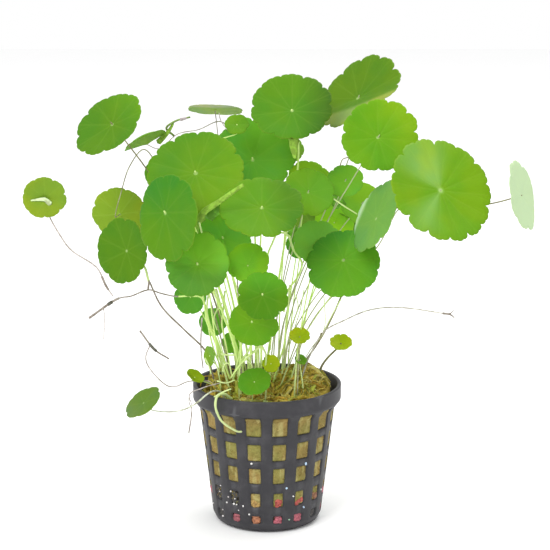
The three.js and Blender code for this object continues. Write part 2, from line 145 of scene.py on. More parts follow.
def seen(across, down, depth):
    """The place at a depth y that the camera shows at a pixel of the photograph."""
    up = np.array([0, math.sin(CAMERA_PITCH), math.cos(CAMERA_PITCH)])
    eye = np.array(CAMERA_TARGET) + CAMERA_DISTANCE * CAMERA_BACK
    focal = PHOTO_PIXELS * CAMERA_LENS / SENSOR
    ray = (across - PHOTO_PIXELS / 2) / focal * np.array([1, 0, 0])
    ray = ray + (PHOTO_PIXELS / 2 - down) / focal * up - CAMERA_BACK
    return eye + ray * (depth - eye[1]) / ray[1]


def seen_path(places, depth):
    """A path through pixels of the photograph, at one depth or from one depth to another."""
    pixels = [[float(n) for n in place.split(",")] for place in places.split()]
    depths = np.linspace(*np.broadcast_to(depth, 2), len(pixels))
    return [seen(across, down, y) for (across, down), y in zip(pixels, depths)]


def between(a, b, c, d, t):
    """What lies a share t of the way from b to c on a smooth curve through all four."""
    return 0.5 * (2 * b + (c - a) * t + (2 * a - 5 * b + 4 * c - d) * t**2 + (3 * b - a - 3 * c + d) * t**3)


def smooth(points, steps=6):
    """A smooth path through points, with a few steps between each two."""
    points = np.array(points, float)
    ends = np.vstack([2 * points[0] - points[1], points, 2 * points[-1] - points[-2]])
    path = [between(*ends[i : i + 4], t) for i in range(len(points) - 1) for t in np.arange(steps) / steps]
    return np.array([*path, points[-1]])


def around(angles, values, at):
    """Values known at angles round a circle, read at other angles along a smooth curve."""
    knots = np.concatenate([angles - TURN, angles, angles + TURN])
    known = np.tile(values, 3)
    i = np.clip(np.searchsorted(knots, at, side="right") - 1, 1, len(knots) - 3)
    t = (at - knots[i]) / (knots[i + 1] - knots[i])
    return between(known[i - 1], known[i], known[i + 1], known[i + 2], t)


def round_pot(angle, radius, z):
    """The place at an angle from the pot's front, a distance from its axis and a height."""
    return (radius * math.sin(angle), -radius * math.cos(angle), z)


def add_object(name, data):
    made = bpy.data.objects.new(name, data)
    bpy.context.scene.collection.objects.link(made)
    return made


def add_fine(name, mesh, record_slot, *replaced):
    """Adds a fine mesh to the part, in place of a node where one is given."""
    mesh.polygons.foreach_set("use_smooth", [True] * len(mesh.polygons))
    made = add_object(name, mesh)
    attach(made, "root")
    if replaced:
        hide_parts(*replaced)


class Piece:
    """Corners, faces, pattern coordinates and colours gathered for one object."""

    def __init__(self):
        self.corners, self.tones, self.pales = [], [], []
        self.faces, self.maps, self.slots = [], [], []
        self.count = 0

    def add(self, corners, faces, slot, tone=(0.5, 0.5, 0.5), pale=0.0, maps=None):
        """faces hold corner numbers, and maps one (u, v) for each corner of each face."""
        corners = np.asarray(corners, float)
        self.corners.append(corners)
        self.tones.append(np.broadcast_to(np.array(tone, float), (len(corners), 3)))
        self.pales.append(np.broadcast_to(np.asarray(pale, float), (len(corners),)))
        self.faces.extend([[n + self.count for n in face] for face in faces])
        self.maps.extend(maps or [[(0, 0)] * len(face) for face in faces])
        self.slots.extend([slot] * len(faces))
        self.count += len(corners)

    def make(self, name, record_slot, *replaced):
        mesh = bpy.data.meshes.new(name)
        mesh.from_pydata((np.vstack(self.corners) * MM).tolist(), [], self.faces)
        used = sorted(set(self.slots))
        for kind in used:
            mesh.materials.append(MATERIALS[kind])
        mesh.polygons.foreach_set("material_index", [used.index(kind) for kind in self.slots])
        pattern = mesh.uv_layers.new(name="pattern")
        pattern.data.foreach_set("uv", [n for face in self.maps for corner in face for n in corner])
        tone = mesh.attributes.new("tone", "FLOAT_COLOR", "POINT")
        tone.data.foreach_set("color", np.hstack([np.vstack(self.tones), np.ones((self.count, 1))]).ravel())
        pale = mesh.attributes.new("pale", "FLOAT", "POINT")
        pale.data.foreach_set("value", np.concatenate(self.pales))
        mesh.validate()
        add_fine(name, mesh, record_slot, *replaced)


def kind_of(tone):
    return JUICY if tone in JUICY_TONES else WOODY


def tube(piece, path, radius, tone, sides=8, taper=1.0, ripple=0.0, flat=1.0):
    """A strand along a path, closed at both ends. taper is the end's thickness as a share of the
    start's, ripple makes it knobbly, and flat is its thickness as a share of its width."""
    path = np.array(path, float)
    along = np.gradient(path, axis=0)
    along /= np.linalg.norm(along, axis=1)[:, None]
    side = unit(np.cross(along[0], START_ASIDE))
    lengths = np.concatenate([[0], np.cumsum(np.linalg.norm(np.diff(path, axis=0), axis=1))])
    turn = np.arange(sides) * TURN / sides
    rings = []
    for middle, ahead, length in zip(path, along, lengths):
        side = unit(side - ahead * (side @ ahead))
        other = np.cross(ahead, side)
        share = length / lengths[-1]
        thick = radius * (1 + (taper - 1) * share) * (1 + ripple * math.sin(RIPPLE_TURN * length))
        rings.append(middle + thick * (np.cos(turn)[:, None] * side + flat * np.sin(turn)[:, None] * other))
    first_end = path[0] - along[0] * radius * 0.5
    last_end = path[-1] + along[-1] * radius * taper * 0.5
    heights = lengths / STRAND_SCALE
    start = len(path) * sides
    around_strand = [(k, (k + 1) % sides, k / sides, (k + 1) / sides) for k in range(sides)]
    faces, maps = [], []
    for i, (low, high) in enumerate(zip(heights, heights[1:])):
        for k, m, u, v in around_strand:
            faces.append([i * sides + k, i * sides + m, (i + 1) * sides + m, (i + 1) * sides + k])
            maps.append([(u, low), (v, low), (v, high), (u, high)])
    for k, m, u, _ in around_strand:
        faces += [[start, m, k], [start + 1, start - sides + k, start - sides + m]]
        maps += [[(u, 0)] * 3, [(u, heights[-1])] * 3]
    piece.add(np.vstack([*rings, first_end, last_end]), faces, kind_of(tone), tone, maps=maps)


def corners_of(node):
    """The corners of a CAD node, each once, in millimetres."""
    mesh = bmesh.new()
    mesh.from_mesh(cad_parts[node].data)
    bmesh.ops.remove_doubles(mesh, verts=mesh.verts, dist=SAME_CORNER * MM)
    places = np.array([corner.co[:] for corner in mesh.verts]) / MM
    mesh.free()
    return places


class Blade:
    """A leaf's middle surface, from its hub: how far its margin reaches at each angle, how high it
    lies there as a straight and a curved part, and the angles of the notches between its lobes."""

    def __init__(self, hub, across, up, angles, reach, straight, curved, notches):
        self.hub, self.across, self.up = hub, across, up
        self.normal = np.cross(across, up)
        self.angles, self.reach, self.straight, self.curved = angles, reach, straight, curved
        self.notches = notches

    def surface(self, angle, share, dent):
        """Points at angles and shares of the way from the hub to the margin, whose notches dent it."""
        reach = around(self.angles, self.reach, angle) * share * (1 - dent)
        lift = around(self.angles, self.straight, angle) * share
        lift = lift + around(self.angles, self.curved, angle) * share**2
        out = (reach * np.cos(angle))[..., None] * self.across + (reach * np.sin(angle))[..., None] * self.up
        return self.hub + out + lift[..., None] * self.normal, reach


def leaf_axes(points, stalk):
    """A main leaf's hub, and its directions across, up and out of its upper side. Of its corners the two
    nearest to their middle are those of its hub, and the tip of its stalk shows which side is under."""
    from_middle = np.linalg.norm(points - points.mean(0), axis=1)
    one, other = points[np.argsort(from_middle)[:2]]
    hub = (one + other) / 2
    tip = stalk[np.argmin(np.linalg.norm(stalk - hub, axis=1))]
    normal = unit(one - other)
    if normal @ (tip - hub) > 0:
        normal = -normal
    across = unit(np.cross((0, 0, 1), normal))
    return hub, across, np.cross(normal, across), normal


def measured(name):
    """The blade of a main leaf, measured on its CAD node."""
    points = corners_of("leaf_" + name)
    hub, across, up, normal = leaf_axes(points, corners_of("stalk_" + name))
    out = points - hub
    x, y, lift = out @ across, out @ up, out @ normal
    reach, angle = np.hypot(x, y), np.arctan2(y, x)
    off_hub = reach > 1
    reach, angle, lift = reach[off_hub], angle[off_hub], lift[off_hub]
    start = angle[np.argmax(reach)] - RAY_GAP
    angle = (angle - start) % TURN
    order = np.argsort(angle)
    rays = np.split(order, np.flatnonzero(np.diff(angle[order]) > RAY_GAP) + 1)
    found = []
    for ray in rays:
        far = reach[ray].max()
        outer, inner = ray[reach[ray] > OUTER_SHARE * far], ray[reach[ray] <= OUTER_SHARE * far]
        height, straight = lift[outer].mean(), 0.0
        if len(inner):
            m = reach[inner].mean() / far
            straight = (lift[inner].mean() - m**2 * height) / (m - m**2)
        found.append((angle[ray].mean() + start, far, straight, height - straight))
    angles, reach, straight, curved = np.array(found).T
    beside = (np.roll(reach, 1) + np.roll(reach, -1)) / 2
    notch = reach < NOTCH_SHARE * beside
    envelope = np.where(notch, beside, reach)
    return Blade(hub, across, up, angles, envelope, straight, curved, angles[notch])


def facing(tilt, toward):
    """How a leaf is turned, as in the solids: the directions of its own three axes."""
    turn, axis_angle = math.radians(tilt), math.radians(toward)
    axis = np.array([-math.sin(axis_angle), math.cos(axis_angle), 0])
    cross = np.array([[0, -axis[2], axis[1]], [axis[2], 0, -axis[0]], [-axis[1], axis[0], 0]])
    tilted = np.eye(3) + math.sin(turn) * cross + (1 - math.cos(turn)) * cross @ cross
    lean = math.pi / 2 - FRONT_PITCH
    front = np.array([[1, 0, 0], [0, math.cos(lean), -math.sin(lean)], [0, math.sin(lean), math.cos(lean)]])
    return (front @ tilted).T


def described(leaf):
    """The blade of a small leaf, from the numbers that its solid is made with."""
    across, up, _ = facing(leaf.get("tilt", 0), leaf.get("toward", 90))
    radius, lobes = leaf["radius"], leaf.get("lobes", 6)
    stretch, stretch_toward = leaf.get("long", (0, 0))
    bend, crease = leaf.get("fold", (0, 0))
    bend, crease = math.radians(bend), math.radians(crease)
    angles = np.arange(4 * lobes) * TURN / (4 * lobes) - TURN / 4
    uneven = 0.03 * np.sin(2 * angles + radius) + stretch * np.cos(angles - math.radians(stretch_toward))
    reach = radius * (1 + uneven)
    along, beside = reach * np.cos(angles - crease), reach * np.sin(angles - crease)
    outward = beside * math.cos(bend)
    x = along * math.cos(crease) - outward * math.sin(crease)
    y = along * math.sin(crease) + outward * math.cos(crease)
    curved = radius * (leaf.get("cup", 0.06) + 0.03 * np.sin(3 * angles + radius))
    turned = np.unwrap(np.arctan2(y, x))
    straight = np.abs(beside) * math.sin(bend)
    hub = np.array(leaf["hub"], float)
    return Blade(hub, across, up, turned, np.hypot(x, y), straight, curved, turned[::4])


def margin_lines(blade):
    """The lines from a blade's hub to points round its margin: their places counted in lobes, their
    angles, and how deep the margin is dented there by the notch between lobes and by its own waves."""
    lobes = len(blade.notches)
    notches = np.sort(blade.notches)
    ends = np.append(notches, notches[0] + TURN)
    part = np.arange(lobes * POINTS_A_LOBE) / POINTS_A_LOBE
    lobe, within = np.floor(part).astype(int), part % 1
    angle = ends[lobe] + within * (ends[lobe + 1] - ends[lobe])
    deepest = YOUNG_NOTCH_DEPTH if blade.reach.max() < YOUNG_RADIUS else NOTCH_DEPTH
    depth = deepest * random.uniform(0.4, 1.4, lobes + 1)
    depth[-1] = depth[0]
    edge = depth[lobe] * (1 - within) + depth[lobe + 1] * within
    waves = 0.018 * (1 - np.abs(np.sin(3 * np.pi * within)) ** 0.5)
    return part, angle, edge * (1 - np.sin(np.pi * within) ** 0.5) + waves


def relief(blade, within, shares, reach):
    """How far a blade rises from its middle surface: pleats and sunken veins, a margin that droops
    and a dimple at the hub."""
    size = blade.reach.mean()
    vein = np.exp(-(((within - 0.5) / 0.09) ** 2))
    pleat = 0.007 * size * np.cos(TURN * within) * shares * (1 - 0.4 * shares) - 0.03 * vein * (1 - shares)
    droop = -0.02 * size * np.clip(shares - 0.85, 0, 1) / 0.15
    return pleat + droop - HUB_DIMPLE * np.exp(-((reach / 1.2) ** 2))


def blade_tones(tone, sides, sheen, angles, shares):
    """The colours of a blade's corners, the hub's first, with the colours of its sides, on some leaves
    painted light or shade, and its wedges of painted sheen.
    """
    tones = np.array(tone)
    for other, direction, start, width in sides:
        toward = np.cos(angles - math.radians(direction)) * shares
        weight = np.clip(0.5 + (np.append([0], toward.ravel()) - start) / width, 0, 1)[:, None]
        tones = tones * (1 - weight) + np.array(other) * weight
    # Paler wedges out from the hub: painted sheen
    for direction in sheen:
        wedge = np.clip(np.cos(angles - math.radians(direction)), 0, 1) ** 18
        toward = wedge * shares**0.4 * (1.25 - shares)
        weight = 0.8 * np.append([0.3], toward.ravel())[:, None]
        tones = tones * (1 - weight) + np.array(PALE_GREEN) * weight
    return tones


def blade_faces(count, us, vs):
    """The faces of one side of a blade and their pattern coordinates, ring by ring round the hub."""
    faces, maps = [], []
    for k in range(count):
        m = (k + 1) % count
        faces.append([0, 1 + k, 1 + m])
        maps.append([(us[k], 0), (us[k], vs[1]), (us[k + 1], vs[1])])
        for j in range(LEAF_RINGS - 1):
            a, b = 1 + j * count, 1 + (j + 1) * count
            faces.append([a + k, b + k, b + m, a + m])
            low, high = vs[j + 1], vs[j + 2]
            maps.append([(us[k], low), (us[k], high), (us[k + 1], high), (us[k + 1], low)])
    return faces, maps


def add_blade(piece, blade, tone, pale=0.0, sides=(), sheen=()):
    """A fine leaf: lobed, faintly pleated between its veins, thin at its margin. pale whitens it, a painted
    sheen.
    sides holds other colours that it turns to in a direction, in degrees in its own plane, about a
    share of the way to the margin and over a width; on some leaves they are painted light or shade. sheen
    holds directions of paler wedges, painted sheen."""
    part, angle, dent = margin_lines(blade)
    share = 1 - (1 - np.arange(1, LEAF_RINGS + 1) / LEAF_RINGS) ** 1.25
    shares, angles = np.meshgrid(share, angle, indexing="ij")
    places, reach = blade.surface(angles, shares, dent * shares**7)
    places = places + relief(blade, part % 1, shares, reach)[..., None] * blade.normal
    half = 0.5 * BLADE_THICKNESS * np.where(shares > 0.97, 0.4, 1)[..., None] * blade.normal
    hub = blade.hub - HUB_DIMPLE * blade.normal
    hub_half = 0.5 * BLADE_THICKNESS * blade.normal
    top = np.vstack([hub + hub_half, (places + half).reshape(-1, 3)])
    under = np.vstack([hub - hub_half, (places - half).reshape(-1, 3)])
    count = len(angle)
    us = np.append(part, len(blade.notches)) / LOBE_SCALE
    faces, maps = blade_faces(count, us, np.concatenate([[0], share]))
    tones = blade_tones(tone, sides, sheen, angles, shares)
    piece.add(top, faces, TOP, tones, pale, maps)
    piece.add(under, [face[::-1] for face in faces], UNDER, tones, pale, [face[::-1] for face in maps])
    first = piece.count - 2 * len(top) + 1 + (LEAF_RINGS - 1) * count
    for k in range(count):
        m = (k + 1) % count
        piece.faces.append([first + k, first + len(top) + k, first + len(top) + m, first + m])
        piece.maps.append([(us[k], 1), (us[k], 1), (us[k + 1], 1), (us[k + 1], 1)])
    piece.slots.extend([TOP] * count)


class Shader:
    """A material's node tree, with short ways to add nodes and to join them."""

    def __init__(self, name):
        self.material = bpy.data.materials.new(name)
        self.material.use_nodes = True
        self.tree = self.material.node_tree
        self.surface = self.tree.nodes["Principled BSDF"]
        self.output = self.tree.nodes["Material Output"]

    def set(self, socket, value):
        """Joins a socket to another node's, or sets its value. A colour is given without its alpha."""
        if isinstance(value, bpy.types.NodeSocket):
            self.tree.links.new(value, socket)
        else:
            socket.default_value = (*value, 1) if socket.type == "RGBA" else value

    def add(self, kind, inputs=(), **settings):
        node = self.tree.nodes.new(kind)
        for name, value in settings.items():
            setattr(node, name, value)
        for name, value in dict(inputs).items():
            self.set(node.inputs[name], value)
        return node

    def place(self):
        return self.add("ShaderNodeTexCoord").outputs["Object"]

    def drawn_out(self, place, squeeze):
        """Places for a pattern that is longer upward."""
        return self.add("ShaderNodeMapping", {"Vector": place, "Scale": (1, 1, squeeze)}).outputs[0]

    def attribute(self, name, output):
        return self.add("ShaderNodeAttribute", attribute_name=name).outputs[output]

    def pattern(self):
        """The pattern's two coordinates: round a blade or strand, and outward or along."""
        pattern = self.add("ShaderNodeUVMap", uv_map="pattern").outputs[0]
        split = self.add("ShaderNodeSeparateXYZ", {0: pattern})
        return split.outputs["X"], split.outputs["Y"]

    def math(self, operation, a, b=0.0):
        return self.add("ShaderNodeMath", {0: a, 1: b}, operation=operation).outputs[0]

    def times(self, a, b):
        return self.math("MULTIPLY", a, b)

    def ramp(self, value, low, high):
        """0 at low, 1 at high, and smooth between them. low may be the larger."""
        inputs = {"Value": value, "From Min": low, "From Max": high}
        return self.add("ShaderNodeMapRange", inputs, interpolation_type="SMOOTHSTEP").outputs[0]

    def mix(self, share, a, b, blend="MIX"):
        node = self.add("ShaderNodeMix", data_type="RGBA", blend_type=blend)
        self.set(node.inputs["Factor"], share)
        self.set(node.inputs[MIX_A], a)
        self.set(node.inputs[MIX_B], b)
        return node.outputs[MIX_RESULT]

    def dyed(self, colour, dye):
        return self.mix(1.0, colour, dye, "MULTIPLY")

    def noise(self, place, scale, detail=3.0, roughness=0.55):
        inputs = {"Vector": place, "Scale": scale, "Detail": detail, "Roughness": roughness}
        return self.add("ShaderNodeTexNoise", inputs).outputs["Fac"]

    def bump(self, height, strength, distance):
        inputs = {"Height": height, "Strength": strength, "Distance": distance * MM}
        return self.add("ShaderNodeBump", inputs).outputs["Normal"]

    def finish(self, **looks):
        """Gives the surface its looks, named as its sockets are, and returns the material."""
        for name, value in looks.items():
            self.set(self.surface.inputs[SOCKETS[name]], value)
        return self.material

    def shine_through(self, share, colour):
        """Mixes in a share of light that comes through from behind."""
        through = self.add("ShaderNodeBsdfTranslucent", {"Color": colour})
        inputs = {0: share, 1: self.surface.outputs[0], 2: through.outputs[0]}
        mixed = self.add("ShaderNodeMixShader", inputs)
        self.set(self.output.inputs["Surface"], mixed.outputs[0])


SOCKETS = {
    "colour": "Base Color",
    "roughness": "Roughness",
    "gloss": "Specular IOR Level",
    "normal": "Normal",
}


def leaf_veins(s, across, share):
    """A vein out along the middle of each lobe, which forks on the way."""
    fork_at = 0.42
    aside = s.math("ABSOLUTE", s.math("SUBTRACT", s.math("FRACT", s.times(across, LOBE_SCALE)), 0.5))
    main = s.ramp(s.times(aside, share), 0.05, 0.012)
    fork = s.times(s.math("SUBTRACT", share, fork_at), 0.5)
    beside = s.math("ABSOLUTE", s.math("SUBTRACT", aside, fork))
    forks = s.times(s.ramp(beside, 0.045, 0.01), s.ramp(share, fork_at, 0.5))
    return s.math("MAXIMUM", main, s.times(forks, 0.6))


def leaf_material(name, under):
    """A leaf's upper or under side: patches of bluer and yellower green at random, painted dappled shade and
    light, pale radiating veins that fork towards the margin, a lighter margin of painted light, a pale spot
    at the hub and a faint grain."""
    cool_shade, warm_light, shadow = (0.88, 0.98, 1.3), (1.12, 1.03, 0.8), (0.7, 0.75, 0.7)
    vein_green, lit_margin_green, hub_green = (0.42, 0.6, 0.1), (0.3, 0.44, 0.03), (0.5, 0.7, 0.26)
    under_green, sheen_white, glow = (0.36, 0.5, 0.1), (0.62, 0.76, 0.55), (1.35, 1.2, 0.5)
    s = Shader(name)
    place = s.place()
    tone = s.attribute("tone", "Color")
    across, share = s.pattern()
    veins = leaf_veins(s, across, share)
    grain = s.noise(place, 1500)
    # Bluer and yellower patches at random: painted dappled shade and light
    colour = s.mix(s.ramp(s.noise(place, 70, 2), 0.36, 0.64), s.dyed(tone, cool_shade), s.dyed(tone, warm_light))
    colour = s.mix(s.times(grain, 0.22), colour, s.dyed(colour, shadow))
    colour = s.mix(s.times(veins, 0.14 if under else 0.05), colour, vein_green)
    # A lighter yellow-green margin: painted light, shining through the thin edge
    colour = s.mix(s.times(s.ramp(share, 0.965, 1.0), 0.3), colour, lit_margin_green)
    colour = s.mix(s.times(s.ramp(share, 0.06, 0.02), 0.6), colour, hub_green)
    if under:
        colour = s.mix(0.2, colour, under_green)
    # pale whitens the leaf: painted sheen, where light glances off it
    colour = s.mix(s.attribute("pale", "Fac"), colour, sheen_white)
    height = s.math("ADD", s.times(veins, 0.8 if under else -0.5), s.times(grain, 0.35))
    s.shine_through(0.28, s.dyed(colour, glow))
    roughness = s.math("ADD", s.times(grain, 0.2), 0.55 if under else 0.42)
    return s.finish(colour=colour, roughness=roughness, gloss=0.14, normal=s.bump(height, 0.14, 0.1))


def stalk_material():
    """Juicy stalks: pale at the foot and greener upward, with fine lengthwise streaks."""
    foot_pale, blotch, streak = (0.84, 0.92, 0.5), (0.8, 1.0, 0.6), (0.6, 0.68, 0.5)
    s = Shader("stalk")
    place = s.place()
    streaks = s.noise(s.drawn_out(place, 0.12), 1800)
    colour = s.mix(s.ramp(s.pattern()[1], 0.12, 0.0), s.attribute("tone", "Color"), foot_pale)
    colour = s.mix(s.times(s.noise(place, 160, 2), 0.4), colour, s.dyed(colour, blotch))
    colour = s.mix(s.times(streaks, 0.3), colour, s.dyed(colour, streak))
    s.shine_through(0.35, colour)
    return s.finish(colour=colour, roughness=0.35, gloss=0.4, normal=s.bump(streaks, 0.3, 0.1))


def strand_material():
    """Runners, roots, wool fibres and moss: their own colour, mottled along their length."""
    s = Shader("strand")
    mottle = s.noise(s.place(), 500, 4)
    tone = s.attribute("tone", "Color")
    colour = s.mix(s.ramp(mottle, 0.62, 0.4), tone, s.dyed(tone, (0.6, 0.57, 0.52)))
    return s.finish(colour=colour, roughness=0.6, gloss=0.25, normal=s.bump(mottle, 0.4, 0.1))


def plastic_material():
    """Black moulded plastic: satin, finely grained, dusty in patches and paler on worn edges."""
    black, dusty, worn_grey = (0.026, 0.025, 0.029), (0.045, 0.043, 0.048), (0.13, 0.13, 0.14)
    s = Shader("pot_plastic")
    place = s.place()
    dust = s.noise(place, 130, 5, 0.65)
    worn = s.ramp(s.add("ShaderNodeNewGeometry").outputs["Pointiness"], 0.53, 0.6)
    colour = s.mix(s.times(worn, 0.4), s.mix(s.ramp(dust, 0.42, 0.7), black, dusty), worn_grey)
    height = s.math("ADD", s.noise(place, 2600, 2), s.times(dust, 0.8))
    roughness = s.math("ADD", s.times(dust, 0.3), 0.36)
    return s.finish(colour=colour, roughness=roughness, gloss=0.35, normal=s.bump(height, 0.25, 0.08))


def stone_material():
    """Grains of coloured gravel, each with its own colour, chalky and pitted, darker in the pits: painted
    shade.
    """
    s = Shader("gravel")
    pits = s.noise(s.place(), 1400, 4, 0.7)
    tone = s.attribute("tone", "Color")
    # Darker in the pits: painted shade
    colour = s.mix(s.ramp(pits, 0.6, 0.3), tone, s.dyed(tone, (0.5, 0.4, 0.4)))
    return s.finish(colour=colour, roughness=0.6, normal=s.bump(pits, 0.6, 0.15))


def wool_material():
    """Damp mineral wool: ochre, stained green and brown, with a felted surface that is darker in its
    hollows, painted shade.
    """
    ochre, brown, green = (0.3, 0.21, 0.065), (0.22, 0.17, 0.05), (0.23, 0.24, 0.06)
    straw, mossy_gold, hollow_shade = (0.46, 0.42, 0.17), (0.4, 0.3, 0.035), (0.68, 0.64, 0.55)
    s = Shader("rock_wool")
    place = s.place()
    felt = s.noise(place, 900, 6, 0.7)
    colour = s.mix(s.ramp(s.noise(place, 110), 0.35, 0.65), ochre, brown)
    colour = s.mix(s.times(s.ramp(s.noise(place, 60, 2), 0.45, 0.65), 0.6), colour, green)
    streak = s.ramp(s.noise(s.drawn_out(place, 0.2), 420, 2), 0.5, 0.68)
    colour = s.mix(s.times(streak, 0.55), colour, straw)
    height = s.add("ShaderNodeSeparateXYZ", {0: place}).outputs["Z"]
    colour = s.mix(s.times(s.ramp(height, 0.0435, 0.0465), 0.8), colour, mossy_gold)
    # Darker where the felt sinks: painted shade in its hollows
    colour = s.mix(s.ramp(felt, 0.6, 0.3), colour, s.dyed(colour, hollow_shade))
    return s.finish(colour=colour, roughness=0.85, gloss=0.25, normal=s.bump(felt, 0.6, 0.3))


# Kinds of surface, which number the materials
TOP, UNDER, JUICY, WOODY, PLASTIC, WOOL, STONE = range(7)
MATERIALS = [
    leaf_material("leaf_top", False),
    leaf_material("leaf_under", True),
    stalk_material(),
    strand_material(),
    plastic_material(),
    wool_material(),
    stone_material(),
]

# Leaf colours. Leaves behind others have brighter colours: painted light, standing in for the light that
# comes through the leaves in front of them
DEEP = (0.09, 0.24, 0.006)
GREEN = (0.095, 0.27, 0.006)
BLUISH = (0.055, 0.25, 0.012)
FRESH = (0.125, 0.31, 0.005)
# INNER, BEHIND and BACKLIT are such brightened greens: painted light
INNER = (0.13, 0.4, 0.025)
BEHIND = (0.18, 0.48, 0.035)
BACKLIT = (0.25, 0.56, 0.05)
YOUNG_PALE = (0.27, 0.49, 0.05)
LIME = (0.165, 0.36, 0.005)
OLIVE = (0.25, 0.39, 0.005)
YELLOW = (0.46, 0.56, 0.005)
PALE_GREEN = (0.34, 0.56, 0.12)
SILVER = (0.13, 0.36, 0.03)
WHITISH = (0.5, 0.68, 0.4)
GREY_OLIVE = (0.27, 0.37, 0.065)
GREY_LILAC = (0.4, 0.34, 0.36)
GREY_GREEN = (0.42, 0.47, 0.33)
GLEAM = (0.6, 0.74, 0.42)
RIM_GREEN = (0.114, 0.233, 0.028)
RIM_PALE = (0.14, 0.24, 0.052)

# Colours of stalks, runners and roots
PALE_STALK = (0.84, 0.97, 0.4)
GREEN_STALK = (0.5, 0.68, 0.16)
GREY_STALK = (0.62, 0.62, 0.42)
WHITE_ROOT = (0.66, 0.7, 0.55)
LILAC_STALK = (0.5, 0.45, 0.42)
BROWN_STALK = (0.3, 0.29, 0.14)
OLIVE_STALK = (0.42, 0.42, 0.24)
RUNNER = (0.31, 0.27, 0.23)
DARK_BUD = (0.13, 0.13, 0.1)
ROOT = (0.7, 0.76, 0.42)
STEM = (0.4, 0.4, 0.08)
SHOOT_GREEN = (0.22, 0.34, 0.08)
PALE_GREY = (0.62, 0.6, 0.53)

# Colours of moss and of wool fibres
MOSSES = [(0.6, 0.4, 0.05), (0.5, 0.38, 0.04), (0.62, 0.5, 0.08), (0.4, 0.44, 0.05), (0.62, 0.55, 0.16)]
FIBRE_TONES = [(0.5, 0.38, 0.1), (0.42, 0.32, 0.08), (0.6, 0.5, 0.18), (0.38, 0.36, 0.08), (0.5, 0.33, 0.09)]

# How each main leaf is coloured. Its stalk is PALE_STALK where not given; its slot, leaf where not given, is
# passed on but not used
MAIN_LEAVES = {
    "left_top": dict(tone=DEEP, stalk=BROWN_STALK, sides=[(FRESH, 60, 0.6, 1)]),
    "left_olive": dict(tone=OLIVE, stalk=OLIVE_STALK, slot="leaf_young"),
    # left_centre turns bluish towards its top: painted shadow, cast by left_big above it
    "left_centre": dict(tone=GREEN, slot="leaf_dark", sides=[(BLUISH, 100, 0.2, 1)]),
    "left_low": dict(tone=DEEP, stalk=GREEN_STALK),
    # left_big turns lighter towards its lower right: painted light
    "left_big": dict(tone=GREEN, sides=[((0.15, 0.33, 0.003), 330, 0, 1.2)]),
    "left_narrow": dict(tone=(0.16, 0.36, 0.02), stalk=LILAC_STALK),
    "top_narrow": dict(tone=(0.26, 0.42, 0.1), stalk=LILAC_STALK, sides=[(GREY_GREEN, 90, 0.45, 0.2)]),
    # top_centre turns darker towards its right: painted shade
    "top_centre": dict(tone=GREEN, sides=[((0.05, 0.15, 0.006), 0, 0.5, 0.8)]),
    "centre_back": dict(tone=INNER, slot="leaf_dark"),
    # centre_front turns darker towards its right: painted shade
    "centre_front": dict(tone=FRESH, sides=[((0.075, 0.22, 0.006), 10, 0.35, 0.6)]),
    "centre_right": dict(tone=(0.15, 0.37, 0.012), stalk=GREY_STALK),
    "inner_olive": dict(tone=(0.3, 0.56, 0.017), stalk=GREY_STALK, slot="leaf_young"),
    "right_inner": dict(tone=BEHIND, stalk=GREY_STALK),
    "right_olive": dict(tone=(0.27, 0.57, 0.035), stalk=GREY_STALK, slot="leaf_young"),
    # right_silvery: pale whitens it a little, painted sheen
    "right_silvery": dict(tone=SILVER, pale=0.08, stalk=GREY_STALK, sides=[(WHITISH, 180, 0.8, 0.1)]),
    "right_low": dict(
        tone=(0.115, 0.36, 0.016), stalk=GREY_STALK, slot="leaf_dark", sides=[(BLUISH, 130, 0.5, 0.7)],
    ),
    "right_big": dict(tone=LIME, stalk=GREY_STALK, sheen=(82, 106, 130, 222)),
    # far_right: pale whitens it nearly to white, painted sheen
    "far_right": dict(tone=SILVER, pale=0.85, stalk=BROWN_STALK),
    "right_upper": dict(
        tone=(0.135, 0.36, 0.006), stalk=GREY_STALK, sides=[((0.19, 0.4, 0.003), 30, 0.2, 1)],
    ),
    "right_top": dict(
        tone=(0.105, 0.24, 0.006), stalk=GREY_STALK, sides=[(GREY_OLIVE, 305, 0.33, 0.12)],
    ),
    # low_left: brightened, painted light for the shade it lies in, and darker towards its bottom, painted
    # shade
    "low_left": dict(
        tone=(0.19, 0.52, 0.035), slot="leaf_dark", sides=[((0.095, 0.28, 0.015), 265, 0.1, 0.6)],
    ),
    # low_back: brightened, painted light for the shade it lies in
    "low_back": dict(tone=(0.24, 0.6, 0.055), slot="leaf_dark"),
    "low_centre": dict(tone=(0.085, 0.25, 0.004), sides=[((0.11, 0.36, 0.012), 90, 0.3, 0.8)]),
    "low_yellow": dict(tone=(0.135, 0.35, 0.006), slot="leaf_young"),
    "rim_left": dict(tone=RIM_GREEN, stalk=WHITE_ROOT, slot="leaf_dark", sides=[(RIM_PALE, 250, 0.3, 0.8)]),
}

# Radii of the thinner kinds of stalk, and the colours of strands that are juicy, as the others are dull
THIN_RADII = {LILAC_STALK: 0.28, GREY_STALK: 0.27, BROWN_STALK: 0.36, OLIVE_STALK: 0.28, WHITE_ROOT: 0.34}
JUICY_TONES = (PALE_STALK, GREEN_STALK, GREY_STALK, ROOT, WHITISH)

# The side shoot on the narrow left leaf's stalk: its path and the wing at its foot. Corners of the solid
# as near to it as this are taken for its own, save those left of its end
SHOOT = [(-33, 23, 133.2), (-35.6, 22.3, 136), (-32, 20.5, 138.8), (-27, 18, 140.4)]
WING = [(-38.5, 22, 131), (-35.5, 22, 134), (-33.5, 21.5, 137), (-33, 21, 138.5)]
SHOOT_NEAR = 1.2
SHOOT_LEFT_END = -36.5

